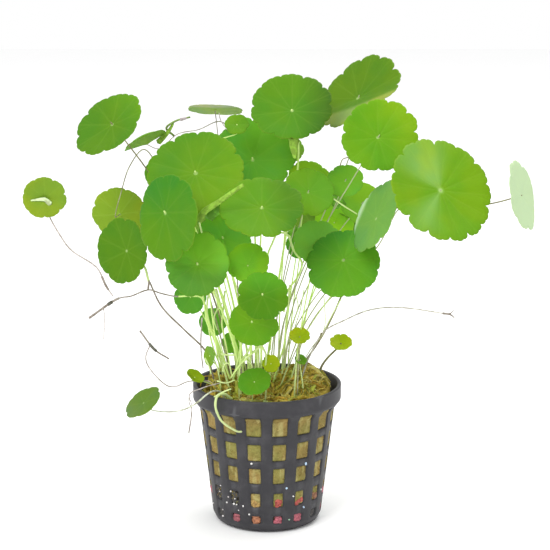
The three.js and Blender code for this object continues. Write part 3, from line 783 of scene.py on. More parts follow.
# Creeping stems: their paths on the wool and the small leaves that grow on them
LEFT_PATH = [(-17, -5), (-15.5, -8.5), (-13, -10.8), (-9.5, -13.6), (-5, -15.5), (-0.5, -16.5)]
RIGHT_PATH = [(19, 4.5), (17.8, -1), (15, -7.5), (11.5, -12), (7, -15.5)]
BACK_LEFT_PATH = [(-16, 4), (-14.5, 9), (-11, 13.5), (-4, 17.3)]
BACK_RIGHT_PATH = [(1, 16.8), (6, 15), (11, 12.5)]
LEFT_YOUNG = [
    dict(hub=(-25, -8, 53.2), radius=3.4, tilt=60, toward=60, cup=0.25, foot=(-17, -5.5), tone=OLIVE),
    dict(hub=(-19.7, -10.5, 61.5), radius=3.6, tilt=56, toward=180, foot=(-16, -7), tone=(0.2, 0.4, 0.03)),
    dict(hub=(-4.2, -19.5, 54.8), radius=5.8, lobes=8, tilt=40, toward=95, foot=(-5, -15.5),
         tone=(0.105, 0.31, 0.008)),
    dict(hub=(1.4, -12, 59.2), radius=3.2, tilt=15, toward=120, foot=(-0.5, -16.5), tone=YELLOW),
    dict(hub=(-6.2, -25, 96.3), radius=7, lobes=8, tilt=15, long=(0.15, 90), foot=(-9.5, -13.6),
         tone=(0.24, 0.56, 0.02)),
]
RIGHT_YOUNG = [
    dict(hub=(11.2, -14, 69.2), radius=3.8, lobes=8, tilt=45, foot=(10.5, -13), cup=0.2, tone=YELLOW,
         stalk=OLIVE_STALK),
    dict(hub=(26, 4, 62.2), radius=4.2, lobes=8, tilt=50, foot=(18.5, 3), cup=0.2, tone=YELLOW,
         stalk=BROWN_STALK, thick=0.45),
    dict(hub=(11.5, -12, 60.4), radius=2.2, tilt=40, toward=60, cup=0.3, foot=(12.5, -10.8),
         tone=(0.15, 0.36, 0.02)),
    dict(hub=(17.4, -9, 100.8), radius=8.3, lobes=8, tilt=15, foot=(9.5, -13.6), arch=0.05, tone=BACKLIT),
]
BACK_LEFT = [
    dict(hub=(-35.8, 6, 122.6), radius=7, tilt=20, toward=180, foot=(-14, 9.5), tone=INNER),
    dict(hub=(-10.2, 2, 139.8), radius=4.4, tilt=35, foot=(-7, 15.5), tone=FRESH,
         via=[(-20, 13, 105), (-20, 8, 130)], arch=0.05),
    dict(hub=(-26.7, 1, 79.5), radius=6, tilt=15, toward=200, foot=(-15.5, 5), tone=INNER),
    dict(hub=(-30, 34, 108), radius=11, lobes=8, tilt=150, toward=100, foot=(-11, 13.5), tone=GREEN),
    dict(hub=(-19.4, 15, 67.3), radius=5.3, tilt=20, toward=60, foot=(-14, 9.5), arch=0.08, tone=BEHIND),
    dict(hub=(-12.7, 17, 59), radius=4, tilt=15, foot=(-11, 13.5), arch=0.08, tone=BEHIND),
    dict(hub=(-17, 44, 94), radius=11.5, lobes=8, tilt=130, foot=(-5, 17), tone=FRESH),
]
BACK_RIGHT = [
    dict(hub=(8.3, 18, 128.8), radius=5, tilt=25, foot=(4, 15.5), tone=YOUNG_PALE),
    dict(hub=(12.2, 18.5, 95), radius=5.7, tilt=20, foot=(7.5, 14), tone=INNER),
    dict(hub=(24.1, 26, 101.4), radius=7.2, lobes=8, tilt=20, foot=(11, 12.5), tone=(0.34, 0.68, 0.03)),
    dict(hub=(13, 40, 104), radius=10, lobes=8, tilt=140, foot=(6, 15), tone=FRESH),
    dict(hub=(27, 32, 96), radius=10, lobes=8, tilt=130, toward=60, foot=(10, 13), tone=GREEN),
]

# Runners and roots
HANGING_RUNNER = [
    (-17, -5.2, 48.1), (-20.5, -6.5, 51.4), (-27, -8.3, 51.8), (-31.1, -10, 50.6), (-34.1, -11, 50.9),
    (-37.4, -12, 53.9), (-40.7, -13, 58.6), (-41.4, -13, 62.1), (-39.8, -13, 66.3),
]
HANGING_BUD = [(-43.3, -13, 71), (-38.6, -13, 64.6), (-33.5, -13, 61.1)]
LEFT_STEM = [
    on_wool(-18, -1, FOOT_LIFT), (-19.5, -3, 55), (-21.5, -6, 62.4), (-28.4, -8, 70.1), (-35.9, -10, 78.7),
    (-40, -12, 88.3),
]
LEFT_ARM = [
    on_wool(-12.5, -8, FOOT_LIFT), (-17.6, -10, 66.9), (-20.4, -11, 73.2), (-21.8, -11, 81.5),
    (-25.5, -12, 83), (-31, -11, 82.6), (-36, -12, 83.9), (-40.4, -12, 85.1), (-46, -14, 83.4),
    (-51.1, -15, 82.4), (-60, -18, 76.7),
]
LEFT_LINK = [(-40.4, -12, 85.1), (-40, -12, 88.3)]
FAR_LEFT = dict(
    hub=(-75.1, -8, 116.1), radius=7.4, lobes=7, tilt=10, toward=270, fold=(12, 170), long=(0.05, 90),
    foot=(-52, -15.3, 83.6), arch=0.08, tone=(0.23, 0.36, 0.02),
    via=[(-54.5, -14, 87), (-57.9, -12, 93.1), (-66, -11, 98.4), (-70.1, -10, 103.7), (-74, -7, 110)],
)
# A pale crescent laid on the far-left leaf's fold: a painted highlight
FAR_LEFT_GLEAM = seen_path("31,200.5 38,199.7 45,199.7 50,204", -8.8)
RIGHT_STEM = [
    on_wool(12, -5, FOOT_LIFT), (14.5, -7.5, 60), (19.5, -8, 69.3), (26.9, -8, 73.6), (34, -9, 77),
    (41.1, -10, 78.5), (48.2, -11, 78.5), (55.3, -12, 77.7), (60.5, -12, 76.8),
]
RIGHT_BUD = [(60, -12, 76.9), (62.5, -12, 76.5), (64, -12, 75.4)]
RIGHT_SCALE = [(61.5, -12, 76.7), (62.8, -12, 77), (63.8, -11.8, 78)]
FRONT_ROOT = [
    (-12, -17, 48), (-14.4, -18.8, 50.3), (-16.6, -20.6, 50.3), (-17.4, -21.6, 48), (-17, -21.8, 45),
    (-15, -22, 41.3), (-10.5, -22.9, 38.5), (-8.5, -23, 38.2),
]
HAIR_ROOTS = [
    ((-21.7, -16, 51.6), (-26.4, -17, 49.8), (-25.6, -18, 45.1), (-26.8, -18, 36.2)),
    ((-55.3, -16, 80.2), (-55, -16, 76), (-55.4, -16.5, 69)),
]


def centreline(points, tip):
    """The middles of a stalk's rings of corners, in order, from the ring nearest to the tip."""
    middles = []
    left = points
    while len(left):
        near = np.linalg.norm(left - left[0], axis=1) < RING_SPAN
        middles.append(left[near].mean(0))
        left = left[~near]
    path = [np.array(tip, float)]
    while middles:
        nearest = int(np.argmin([np.linalg.norm(middle - path[-1]) for middle in middles]))
        path.append(middles.pop(nearest))
    return np.array(path[1:])


def side_shoot(piece, points):
    """Adds the narrow left leaf's side shoot, and gives the corners of the solid that are its stalk's."""
    shoot = smooth(SHOOT)
    tube(piece, shoot, 0.42, SHOOT_GREEN, taper=0.8)
    tube(piece, smooth(SHOOT[2:])[2:], 0.6, GREY_LILAC, taper=0.4)
    tube(piece, smooth(WING, 3), 1.1, YOUNG_PALE, taper=0.3, flat=0.2)
    away = np.linalg.norm(points[:, None] - shoot[None], axis=2).min(1)
    return points[(away > SHOOT_NEAR) | (points[:, 0] < SHOOT_LEFT_END)]


def main_leaves():
    for name, look in MAIN_LEAVES.items():
        blade = measured(name)
        leaf = Piece()
        colours = {key: look[key] for key in ("tone", "pale", "sides", "sheen") if key in look}
        add_blade(leaf, blade, **colours)
        leaf.make("fine_leaf_" + name, look.get("slot", "leaf"), "leaf_" + name)
        points = corners_of("stalk_" + name)
        stalk = Piece()
        if name == "left_narrow":
            points = side_shoot(stalk, points)
        path = centreline(points, blade.hub)[::-1]
        foot = path[0] + unit(path[0] - path[1]) * STALK_SINK
        tone = look.get("stalk", PALE_STALK)
        top = blade.hub - (HUB_DEPTH if kind_of(tone) == JUICY else WOODY_HUB_DEPTH) * blade.normal
        radius = THIN_RADII.get(tone, STALK_RADIUS)
        tube(stalk, smooth([foot, *path, top]), radius, tone, taper=STALK_TIP)
        stalk.make("fine_stalk_" + name, "stalk", "stalk_" + name)


def stalk_path(leaf, blade):
    """A small leaf's stalk, from its foot through any given points and into the back of its blade."""
    foot = np.array(leaf["foot"] if len(leaf["foot"]) == 3 else on_wool(*leaf["foot"], STEM_LIFT))
    span = np.linalg.norm(blade.hub - foot)
    bend = blade.hub - leaf.get("arch", 0.16) * span * blade.normal
    if "via" in leaf:
        return smooth([foot, *leaf["via"], bend, blade.hub])
    rise = foot + (0, 0, 0.4 * span)
    t = np.linspace(0, 1, 16)[:, None]
    return (1 - t) ** 3 * foot + 3 * t * (1 - t) ** 2 * rise + 3 * t**2 * (1 - t) * bend + t**3 * blade.hub


def add_small_leaf(piece, leaf):
    blade = described(leaf)
    add_blade(piece, blade, leaf["tone"])
    thick, tone = leaf.get("thick", YOUNG_STALK_RADIUS), leaf.get("stalk", PALE_STALK)
    tube(piece, stalk_path(leaf, blade), thick, tone, taper=0.75)


def creeping_stem(piece, path):
    """A knobbly stem on the wool, with short roots that go down at each point of its path."""
    route = smooth([on_wool(x, y, STEM_LIFT) for x, y in path])
    tube(piece, route, 0.55, STEM, sides=10, ripple=0.12)
    for x, y in path:
        for _ in range(4):
            aside, back = random.normal(0, 1.6, 2)
            middle = on_wool(x + aside / 2, y + back / 2, 0.5)
            end = on_wool(x + aside, y + back, -0.6)
            tube(piece, smooth([on_wool(x, y, STEM_LIFT), middle, end], 3), 0.18, ROOT, sides=5)


def hanging_runner(piece):
    bud = smooth(HANGING_BUD)
    tube(piece, smooth(HANGING_RUNNER), 0.22, LILAC_STALK)
    tube(piece, bud, 0.34, RUNNER, taper=0.8)
    tube(piece, bud[4:8], 0.5, DARK_BUD)


def fused_growth():
    growths = {
        "rhizome_left": ("stalk", LEFT_PATH, LEFT_YOUNG),
        "rhizome_right": ("stalk", RIGHT_PATH, RIGHT_YOUNG),
        "back_growth_left": ("leaf_dark", BACK_LEFT_PATH, BACK_LEFT),
        "back_growth_right": ("leaf_dark", BACK_RIGHT_PATH, BACK_RIGHT),
    }
    for name, (slot, path, leaves) in growths.items():
        piece = Piece()
        creeping_stem(piece, path)
        for leaf in leaves:
            add_small_leaf(piece, leaf)
        if name == "rhizome_left":
            hanging_runner(piece)
        piece.make("fine_" + name, slot, name)


def runner_left():
    """The runner at the left, its arm pale at the foot and darker and knobbly at the end."""
    piece = Piece()
    arm = smooth(LEFT_ARM)
    tube(piece, smooth(LEFT_STEM), 0.36, RUNNER, taper=0.8)
    tube(piece, arm[:30], 0.4, PALE_STALK, taper=0.7)
    tube(piece, arm[29:], 0.26, RUNNER)
    tube(piece, arm[-8:], 0.42, RUNNER, ripple=0.1)
    tube(piece, arm[-6:-4], 0.6, DARK_BUD)
    tube(piece, smooth(LEFT_LINK), 0.35, RUNNER)
    piece.make("fine_runner_left", "runner", "runner_left")


def runner_far_left():
    piece = Piece()
    blade = described(FAR_LEFT)
    stalk = stalk_path(FAR_LEFT, blade)
    add_blade(piece, blade, FAR_LEFT["tone"])
    # The gleam: a painted highlight on the blade's fold
    tube(piece, smooth(FAR_LEFT_GLEAM), 0.25, GLEAM, taper=4, flat=0.12)
    tube(piece, stalk, 0.26, LILAC_STALK)
    tube(piece, stalk[4:10], 0.4, RUNNER)
    piece.make("fine_runner_far_left", "leaf_young", "runner_far_left")


def runner_right():
    piece = Piece()
    tube(piece, smooth(RIGHT_STEM), 0.28, PALE_GREY, taper=0.8)
    tube(piece, smooth(RIGHT_BUD), 0.42, RUNNER, taper=0.5)
    tube(piece, smooth(RIGHT_SCALE), 0.3, RUNNER, taper=0.4)
    piece.make("fine_runner_right", "runner", "runner_right")


def front_root():
    piece = Piece()
    tube(piece, smooth(FRONT_ROOT), 0.5, ROOT, taper=0.7, ripple=0.05)
    for route in HAIR_ROOTS:
        tube(piece, smooth(route), 0.16, LILAC_STALK)
    piece.make("fine_front_root", "root", "front_root")


def wall_radius(z):
    """The outside of the pot's wall, which flares towards its collar."""
    levels = (BODY_BOTTOM, BODY_TOP, COLLAR_BOTTOM)
    return float(np.interp(z, levels, (BODY_BOTTOM_RADIUS, BODY_TOP_RADIUS, COLLAR_RADIUS)))


def pot_levels():
    """The pot's wall from the middle of its floor to its rim, level by level: outer and inner radius
    and height, half the width of a window there as an angle, and what is cut above the level."""
    rib_edge = math.pi / COLUMNS
    levels = []

    def add(outer, inner, half, cut=None):
        levels.append((*outer, *inner, half, cut))

    plain = 0.5 * rib_edge
    slot_start, slot_end = SLOT_RADIUS - SLOT_LENGTH / 2, SLOT_RADIUS + SLOT_LENGTH / 2
    add((FLOOR_DISC, 0), (FLOOR_DISC, FLOOR), plain)
    for radius in np.linspace(slot_start, slot_end, 4):
        half = rib_edge - math.asin(SLOT_WIDTH / 2 / radius)
        add((radius, 0), (radius, FLOOR), half, "slot" if radius < slot_end else None)
    add((FOOT_RADIUS, 0), (FOOT_RADIUS - 0.7, FLOOR), plain)
    add(FOOT_BEVEL, FOOT_BEVEL_INSIDE, plain)

    def wall(z):
        outer = wall_radius(z)
        inner = outer - WALL if z <= BODY_TOP else BODY_TOP_RADIUS - WALL + (z - BODY_TOP) * FLARE_INSIDE
        return (outer, z), (inner, z)

    add(*wall(BODY_BOTTOM), plain)
    for bottom, height, width in WINDOW_ROWS:
        for share in (0, 1 / 3, 2 / 3, 1):
            z = bottom + share * height
            outer, inner = wall(z)
            add(outer, inner, math.asin(width / 2 / outer[0]), "window" if share < 1 else None)
    collar_inside = COLLAR_RADIUS - COLLAR_WALL
    add((COLLAR_RADIUS, COLLAR_BOTTOM), (collar_inside - 0.2, COLLAR_BOTTOM + 0.6), plain)
    for z in (COLLAR_BOTTOM + 0.5, POT_HEIGHT - 0.5):
        add((COLLAR_RADIUS, z), (collar_inside + 0.1, max(z, COLLAR_BOTTOM + 0.9)), plain)
    add((COLLAR_RADIUS, POT_HEIGHT), (COLLAR_RADIUS - 1, POT_HEIGHT), plain)
    return levels


def pot_corners(levels):
    """The pot's corners, those of its outside first, and where its wall is cut between two levels."""
    rib_edge = math.pi / COLUMNS
    across = (-1, -1 / 3, 1 / 3, 1)  # lines across a window, as shares of half its width
    ribs = (0.25, 0.5, 0.75)
    lines = len(across) + len(ribs)
    corners, cut = [], np.zeros((len(levels) - 1, COLUMNS * lines), bool)
    for side in (0, 2):
        for i, level in enumerate(levels):
            radius, height, half, kind = level[side], level[side + 1], level[4], level[5]
            for column in range(COLUMNS):
                centre = (column + 0.5) * 2 * rib_edge
                angles = [half * share for share in across]
                angles += [half + share * 2 * (rib_edge - half) for share in ribs]
                corners += [round_pot(centre + angle, radius, height) for angle in angles]
                first = column * lines
                if kind == "window":
                    cut[i, first : first + len(across) - 1] = True
                if kind == "slot" and column % 2:
                    cut[i, first + len(across) - 1 : first + lines] = True
    return [*corners, (0, 0, 0), (0, 0, FLOOR)], cut


def pot_faces(cut):
    """The faces of the wall's two sides, of its rim and round its openings."""
    gaps, count = cut.shape
    inner = (gaps + 1) * count
    top = gaps * count
    faces = []
    for k in range(count):
        m = (k + 1) % count
        faces += [(2 * inner, m, k), (2 * inner + 1, inner + k, inner + m)]
        for i in range(gaps):
            low, high = i * count, (i + 1) * count
            if not cut[i, k]:
                faces.append((low + k, low + m, high + m, high + k))
                faces.append((inner + low + m, inner + low + k, inner + high + k, inner + high + m))
            if cut[i, k] != cut[i, m]:
                faces.append((low + m, high + m, inner + high + m, inner + low + m))
            if i and cut[i, k] != cut[i - 1, k]:
                faces.append((low + k, low + m, inner + low + m, inner + low + k))
        faces.append((top + k, top + m, inner + top + m, inner + top + k))
    return faces


def net_pot():
    """The pot, with its sharp edges softened."""
    corners, cut = pot_corners(pot_levels())
    mesh = bpy.data.meshes.new("fine_net_pot")
    mesh.from_pydata((np.array(corners) * MM).tolist(), [], pot_faces(cut))
    shell = bmesh.new()
    shell.from_mesh(mesh)
    bmesh.ops.recalc_face_normals(shell, faces=shell.faces)
    sharp = [edge for edge in shell.edges if edge.calc_face_angle(0) > SHARP_EDGE]
    bevel = dict(offset=EDGE_BEVEL * MM, segments=2, affect="EDGES", clamp_overlap=True)
    bmesh.ops.bevel(shell, geom=sharp, **bevel)
    shell.to_mesh(mesh)
    shell.free()
    mesh.materials.append(MATERIALS[PLASTIC])
    add_fine("fine_net_pot", mesh, "pot", "net_pot")


def wool_radius(z):
    """The inside of the pot's wall, where the wool lies against it."""
    return min(wall_radius(z), BODY_TOP_RADIUS) - WALL - WOOL_PLAY


def from_front(angle):
    """The number of an angle's column of windows, counted from the front."""
    return (math.floor(angle * COLUMNS / TURN) + COLUMNS // 2) % COLUMNS - COLUMNS // 2


def window_bulge(angle, z):
    """How far wool swells into the window at an angle and height."""
    column = angle * COLUMNS / TURN % 1 - 0.5
    for row, (bottom, height, width) in enumerate(WINDOW_ROWS):
        if row == 0 or FRONT_GRAVEL.get((row, from_front(angle))) is DARK_GREY:
            continue
        up = (z - bottom - height / 2) / (height / 2 + BULGE_MARGIN)
        aside = column * TURN / COLUMNS * wool_radius(z) / (width / 2 + BULGE_MARGIN)
        if abs(up) < 1 and abs(aside) < 1:
            return (1 - up**12) * (1 - aside**12)
    return 0.0


def rough(x, y, z, scale, size):
    return size * noise.fractal(Vector((x, y, z)) * scale, 0.7, 2.2, 4)


def wool_corners():
    """The corners of the plug of wool, from the middle of its underside to the middle of its top."""
    angles = np.arange(WOOL_COLUMNS) * TURN / WOOL_COLUMNS
    corners = [(0, 0, WOOL_BOTTOM)]
    for z in np.linspace(WOOL_BOTTOM, WOOL_SHOULDER, WOOL_LEVELS):
        for angle in angles:
            swell = window_bulge(angle, z)
            radius = wool_radius(z) * (1 - swell) + (wall_radius(z) - WINDOW_DEPTH) * swell
            radius += rough(math.sin(angle) * 20, math.cos(angle) * 20, z, 0.5, 0.16) - 0.1
            corners.append(round_pot(angle, radius, z))
    for ring in np.linspace(1, 0.02, WOOL_RINGS):
        for angle in angles:
            x, y, _ = round_pot(angle, WOOL_TOP_RADIUS * ring, 0)
            lump = rough(x, y, 7, 0.35, 0.7) + rough(x, y, 3, 1.4, 0.25)
            corners.append(on_wool(x, y, lump * min(1, 6 * (1 - ring))))
    return [*corners, on_wool(0, 0)]


def rock_wool():
    """The plug of wool: a felted surface that swells into the windows, under a mossy top."""
    faces = []
    rows = WOOL_LEVELS + WOOL_RINGS
    for k in range(WOOL_COLUMNS):
        m = (k + 1) % WOOL_COLUMNS
        faces.append((0, 1 + m, 1 + k))
        for i in range(rows - 1):
            low, high = 1 + i * WOOL_COLUMNS, 1 + (i + 1) * WOOL_COLUMNS
            faces.append((low + k, low + m, high + m, high + k))
        last = 1 + (rows - 1) * WOOL_COLUMNS
        faces.append((last + k, last + m, last + WOOL_COLUMNS))
    piece = Piece()
    piece.add(wool_corners(), faces, WOOL)
    piece.make("fine_rock_wool", "wool", "rock_wool")


def add_fibre(piece, path, radius):
    tube(piece, path, radius, FIBRE_TONES[random.integers(len(FIBRE_TONES))], sides=3)


def window_fibres(piece, bottom, height, width, column):
    for _ in range(14):
        z = bottom + random.uniform(0.08, 0.92) * height
        reach = wall_radius(z) - WINDOW_DEPTH - 0.1
        angle = (column + 0.5) * TURN / COLUMNS + random.uniform(-0.42, 0.42) * width / reach
        lean = random.uniform(0, TURN / 2)
        length = random.uniform(0.8, 1.9)
        path = []
        for t in (-1, -0.3, 0.4, 1):
            turn = angle + t * length * math.cos(lean) / reach / 2
            out = reach + 0.12 - 0.5 * t * t + random.normal(0, 0.08)
            path.append(round_pot(turn, out, z + t * length * math.sin(lean) / 2))
        add_fibre(piece, path, 0.06)


def top_fibre(piece):
    """A fibre somewhere on the wool's top, unless it would reach past the rim."""
    radius, angle = WOOL_EDGE * math.sqrt(random.uniform()), random.uniform(0, TURN)
    x, y = radius * math.cos(angle), radius * math.sin(angle)
    lean, length = random.uniform(0, TURN), random.uniform(1.2, 3.2)
    path = []
    for t in (-0.5, -0.15, 0.2, 0.5):
        px, py = x + t * length * math.cos(lean), y + t * length * math.sin(lean)
        if math.hypot(px, py) > FIBRE_REACH:
            return
        path.append(on_wool(px, py, 0.35 - 1.6 * t * t + random.normal(0, 0.15)))
    add_fibre(piece, path, 0.08)


def fibres():
    """Loose fibres of the wool, in the windows and on its top."""
    piece = Piece()
    for bottom, height, width in WINDOW_ROWS[1:]:
        for column in range(COLUMNS):
            window_fibres(piece, bottom, height, width, column)
    for _ in range(1000):
        top_fibre(piece)
    piece.make("wool_fibres", "wool")


# Heaps of moss on the wool: strands, middle and spread, longest, tallest, and how they are turned
MOSS_HEAPS = [
    (520, (12, -1), (4.2, 5.5), 7, 2.6, (0.35, 0.8)),
    (300, (-3, -6), (9, 8), 5, 1.2, (0, 3)),
    (220, (-14.5, 0), (3.2, 5), 6, 5, (0.5, 1)),
]


def moss():
    """Rags and strands of moss heaped at the right and left of the wool, and thinner among the stalks."""
    piece = Piece()
    for count, middle, spread, longest, tallest, leans in MOSS_HEAPS:
        for n in range(count):
            x, y = random.normal(middle, spread)
            if math.hypot(x, y) > WOOL_EDGE:
                continue
            lean = random.normal(*leans)
            length = random.uniform(2.2, longest)
            high = random.uniform(0.2, tallest)
            path = []
            for t in np.linspace(-0.5, 0.5, 5):
                px = x + t * length * math.cos(lean) + random.normal(0, 0.2)
                py = y + t * length * math.sin(lean) + random.normal(0, 0.2)
                inside = min(1, MOSS_REACH / math.hypot(px, py))
                rise = high * (1 - 3 * t * t) + random.normal(0, 0.15)
                path.append(on_wool(px * inside, py * inside, rise))
            rag = n % 4 == 0
            radius = random.uniform(0.5, 0.9) if rag else random.uniform(0.12, 0.3)
            tone = MOSSES[random.integers(len(MOSSES))]
            tube(piece, smooth(path, 2), radius, tone, sides=6, taper=0.4, flat=0.25 if rag else 1)
    piece.make("moss", "wool")


def ball():
    """The corners and faces of a small ball, from which grains are shaped."""
    template = bmesh.new()
    bmesh.ops.create_icosphere(template, subdivisions=2, radius=1)
    corners = np.array([corner.co[:] for corner in template.verts])
    faces = [[corner.index for corner in face.verts] for face in template.faces]
    template.free()
    return corners, faces


def add_grain(piece, angle, reach, z, size, tone):
    """One grain with its own lumps at an angle, radius and height; size is its half width, depth and
    height."""
    corners, faces = BALL
    shift = Vector(random.uniform(0, 50, 3))
    lumps = np.array([noise.noise(Vector(corner) * 1.6 + shift) for corner in corners])
    sideways, outward = (math.cos(angle), math.sin(angle), 0), (math.sin(angle), -math.cos(angle), 0)
    shape = corners * (1 + 0.35 * lumps[:, None]) * size @ np.array([sideways, outward, (0, 0, 1)])
    piece.add(round_pot(angle, reach, z) + shape, faces, STONE, tone)


# Colours of the gravel, and in which windows of the front it is seen: row and column from the front
PINK, ROSE, ORANGE, RED = (0.36, 0.1, 0.12), (0.5, 0.13, 0.17), (0.42, 0.17, 0.08), (0.42, 0.08, 0.06)
BROWN, OCHRE, DARK_GREY = (0.3, 0.13, 0.06), (0.4, 0.26, 0.07), (0.05, 0.048, 0.045)
FRONT_GRAVEL = {
    (0, -3): DARK_GREY, (0, -2): PINK, (0, -1): ORANGE, (0, 0): ROSE, (0, 1): ROSE, (0, 2): DARK_GREY,
    (1, -3): DARK_GREY, (1, -2): DARK_GREY, (1, -1): OCHRE, (1, 0): RED, (1, 1): RED, (1, 2): BROWN,
}


def gravel():
    """Coloured grains in the bottom of the pot, seen through the two lowest rows of windows."""
    piece = Piece()
    others = [PINK, ROSE, ORANGE, RED, BROWN, OCHRE, DARK_GREY, DARK_GREY]
    for row, (bottom, height, width) in enumerate(WINDOW_ROWS[:2]):
        for column in range(COLUMNS):
            middle = (column + 0.5) * TURN / COLUMNS
            tone = FRONT_GRAVEL.get((row, from_front(middle)), others[random.integers(len(others))])
            full = row == 0 or tone is DARK_GREY
            for _ in range(20 if full else 12):
                z = bottom + random.uniform(0.05, 0.95 if full else 0.45) * height
                reach = wall_radius(z) - random.uniform(0.6, 0.8) + (0 if full else 0.25)
                angle = middle + random.uniform(-0.32, 0.32) * width / reach
                size = random.uniform((0.6, 0.4, 0.55), (0.95, 0.5, 0.85))
                add_grain(piece, angle, reach, z, size, np.array(tone) * random.uniform(0.7, 1.15))
    piece.make("gravel", "wool")


# Crumbs on the front of the wall, by colour: how far to the right, how high and how big
WHITE, BLUE_WHITE, GREEN_WHITE = (0.8, 0.8, 0.78), (0.45, 0.62, 0.8), (0.35, 0.6, 0.4)
FRONT_CRUMBS = {
    WHITE: [
        (-16.1, 15.6, 0.3), (-16.4, 13.1, 0.25), (-12.5, 14.6, 0.3), (-13.4, 12.2, 0.25), (-13.9, 9.9, 0.3),
        (-11.4, 10.1, 0.35), (-10.5, 10, 0.25), (-8.2, 9.9, 0.3), (-15.4, 6.4, 0.25), (-15.4, 3.9, 0.3),
        (-6.1, 7, 0.3), (-9.8, 8, 0.25), (-11.1, 12.1, 0.25), (-5.2, 26.3, 0.38), (9.1, 13.5, 0.35),
        (18.9, 12.2, 0.3),
    ],
    BLUE_WHITE: [(13.4, 24.9, 0.5), (6.8, 16.9, 0.35), (12.7, 8.5, 0.35)],
    GREEN_WHITE: [(7.7, 4.8, 0.3)],
}


def crumbs():
    """Pale crumbs stuck to the pot's wall, as in the photograph at its front and strewn elsewhere."""
    piece = Piece()
    strewn = []
    for _ in range(70):
        angle = random.uniform(0.3 * TURN, 0.8 * TURN)
        strewn.append((angle, 3 + 22 * random.uniform() ** 1.6, random.uniform(0.15, 0.35), WHITE))
    for tone, places in FRONT_CRUMBS.items():
        strewn += [(math.asin(x / wall_radius(z)), z, size, tone) for x, z, size in places]
    for angle, z, size, tone in strewn:
        add_grain(piece, angle, wall_radius(z), z, size * random.uniform(0.8, 1.3, 3), tone)
    piece.make("crumbs", "pot")


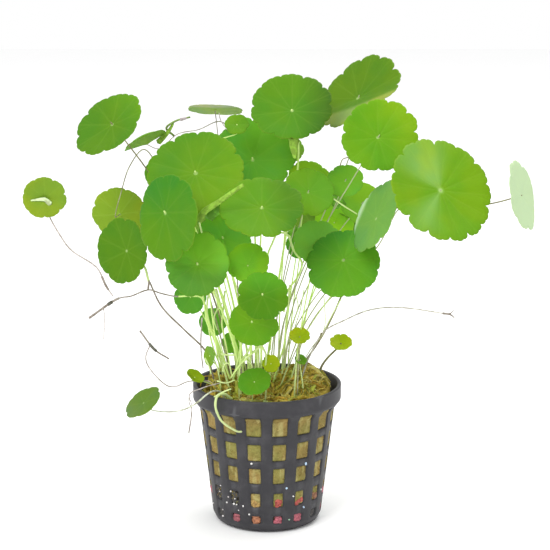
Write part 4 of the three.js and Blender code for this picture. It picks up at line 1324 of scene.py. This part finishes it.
# Stalks and slivers of leaf that cross among the others: radius, colour, depth or the depths of both ends,
# places as seen on the photograph, across and down in pixels, and for slivers their taper and flatness
STRAYS = [
    (0.4, PALE_STALK, -9, "204,285 203,297 206,309 210,325 218,343 225,365 230,379"),
    (0.34, PALE_STALK, -7, "212,285 208,297 207,311 209,330 214,350 222,370"),
    (0.46, PALE_STALK, -11, "216,289 222,311 226,322 232,335 238,353 240,376"),
    (0.32, PALE_STALK, -10, "225,291 223,311 222,325 226,345 231,372"),
    (0.28, GREEN_STALK, -9, "222,303 216,312 214,320 217,330"),
    (0.4, PALE_STALK, -12, "241,334 240,351 237,365 233,380"),
    (0.4, PALE_STALK, -13, "254,340 247,353 242,361 238,376"),
    (0.46, PALE_STALK, -14, "268,338 262,345 250,355 240,365 231,378"),
    (0.36, PALE_STALK, -13, "257,349 258,362 259,380"),
    (0.36, PALE_STALK, -12, "262,346 266,355 265,368 262,380"),
    (0.34, PALE_STALK, -12, "221,354 228,355 237,355"),
    (0.3, PALE_STALK, -13, "247,360 252,366 250,375"),
    (0.3, PALE_STALK, -13, "223,372 224,365 229,364 232,377"),
    (0.36, PALE_STALK, -6, "290,285 288,305 286,325 284,345 279,362 273,382"),
    (0.2, GREY_STALK, -8, "296,295 298,307 293,322 288,340 284,360"),
    (0.2, GREY_STALK, -7, "304,290 300,311 294,330 288,352"),
    (0.22, GREY_STALK, -7, "332,295 320,311 308,329 298,346 290,364"),
    (0.18, GREY_STALK, -8, "324,297 325,312 325,325 322,335"),
    (0.2, GREY_STALK, -8, "341,299 330,319 322,335 313,346 304,360"),
    (0.36, PALE_STALK, -5, "290,237 284,233 277,234 272,244 268,254 266,270 268,292 272,320 270,350"),
    (0.4, PALE_STALK, -4, "289,236 294,251 302,263 297,278 287,292 284,312"),
    (0.3, LILAC_STALK, -4, "202,318 201,335 201,350 203,368"),
    (0.28, GREEN_STALK, -9, "331,197 344,206 357,214"),
    (0.2, BROWN_STALK, -3, "340,166 343,159 352,157"),
    (0.18, LILAC_STALK, 10, "219,113 221,121 228,131"),
    (0.16, LILAC_STALK, -17, "220,383 205,387 191,393 189,402 192,412 189,434"),
    (0.26, ROOT, -21, "231,389 223,392 214,397"),
    (0.24, ROOT, -17, "217,381 226,383 235,380"),
    (0.36, BROWN_STALK, -8, "321.5,333 320,338"),
    (1.2, YOUNG_PALE, (-31, -36), "199,221 204,212 211,207 219,202 230,194 243,185", 0.5, 0.35),
    (0.3, PALE_STALK, (-31, -9), "199,221 203,240 208,280 214,330 220,372"),
    (2.2, BEHIND, -22, "208,216 214,211 222,206", 0.8, 0.3),
    (2, YOUNG_PALE, -8, "294,139 293.5,147 295,158", 0.3, 0.2),
    (2, BEHIND, 14, "331,191 337,198 344,206", 0.6, 0.2),
    (1.6, BEHIND, 25, "329,199 334,203 338,207", 0.8, 0.5),
    (1.4, BEHIND, 18, "289,236 293,232 298,229", 0.8, 0.5),
    (0.3, WHITISH, -12, "205,358 209,366 211,374"),
    (0.3, WHITISH, -12, "212,361 217,366 219,376"),
]


def stray_stalks():
    piece = Piece()
    for radius, tone, depth, places, *sliver in STRAYS:
        taper, flat = sliver or (0.8, 1)
        tube(piece, smooth(seen_path(places, depth), 4), radius, tone, taper=taper, flat=flat)
    piece.make("stray_stalks", "stalk")


BALL = ball()
main_leaves()
fused_growth()
runner_left()
runner_far_left()
runner_right()
front_root()
net_pot()
rock_wool()
fibres()
moss()
gravel()
crumbs()
stray_stalks()

# Camera
camera_data = bpy.data.cameras.new("camera")
camera_data.lens = CAMERA_LENS
camera_data.sensor_width = SENSOR
camera = add_object("camera", camera_data)
camera.location = (Vector(CAMERA_TARGET) + Vector(CAMERA_BACK) * CAMERA_DISTANCE) * MM
camera.rotation_euler = Vector(-CAMERA_BACK).to_track_quat("-Z", "Y").to_euler()
bpy.context.scene.camera = camera

# Floor and light, in metres and watts
STAGE_HALF = 2.0
LAMP_TARGET = (0, 0, 0.09)
corners = [(STAGE_HALF * x, STAGE_HALF * y, 0) for x, y in ((-1, -1), (1, -1), (1, 1), (-1, 1))]
floor_mesh = bpy.data.meshes.new("floor")
floor_mesh.from_pydata(corners, [], [(0, 1, 2, 3)])
floor_mesh.materials.append(Shader("floor").finish(colour=(0.93, 0.93, 0.93), roughness=0.9))
add_object("floor", floor_mesh)

world = bpy.data.worlds.new("studio")
bpy.context.scene.world = world
world.use_nodes = True
world.node_tree.nodes["Background"].inputs["Color"].default_value = (1, 1, 1, 1)
world.node_tree.nodes["Background"].inputs["Strength"].default_value = 1.0


def softbox(name, place, size, power):
    light = bpy.data.lights.new(name, "AREA")
    light.shape = "SQUARE"
    light.size = size
    light.energy = power
    lamp = add_object(name, light)
    lamp.location = place
    lamp.rotation_euler = (Vector(LAMP_TARGET) - Vector(place)).to_track_quat("-Z", "Y").to_euler()


softbox("key", (-0.5, -0.7, 0.9), 0.6, 8)
softbox("top", (0.3, 0.3, 1.1), 0.8, 6)

bpy.context.scene.view_settings.view_transform = "Standard"
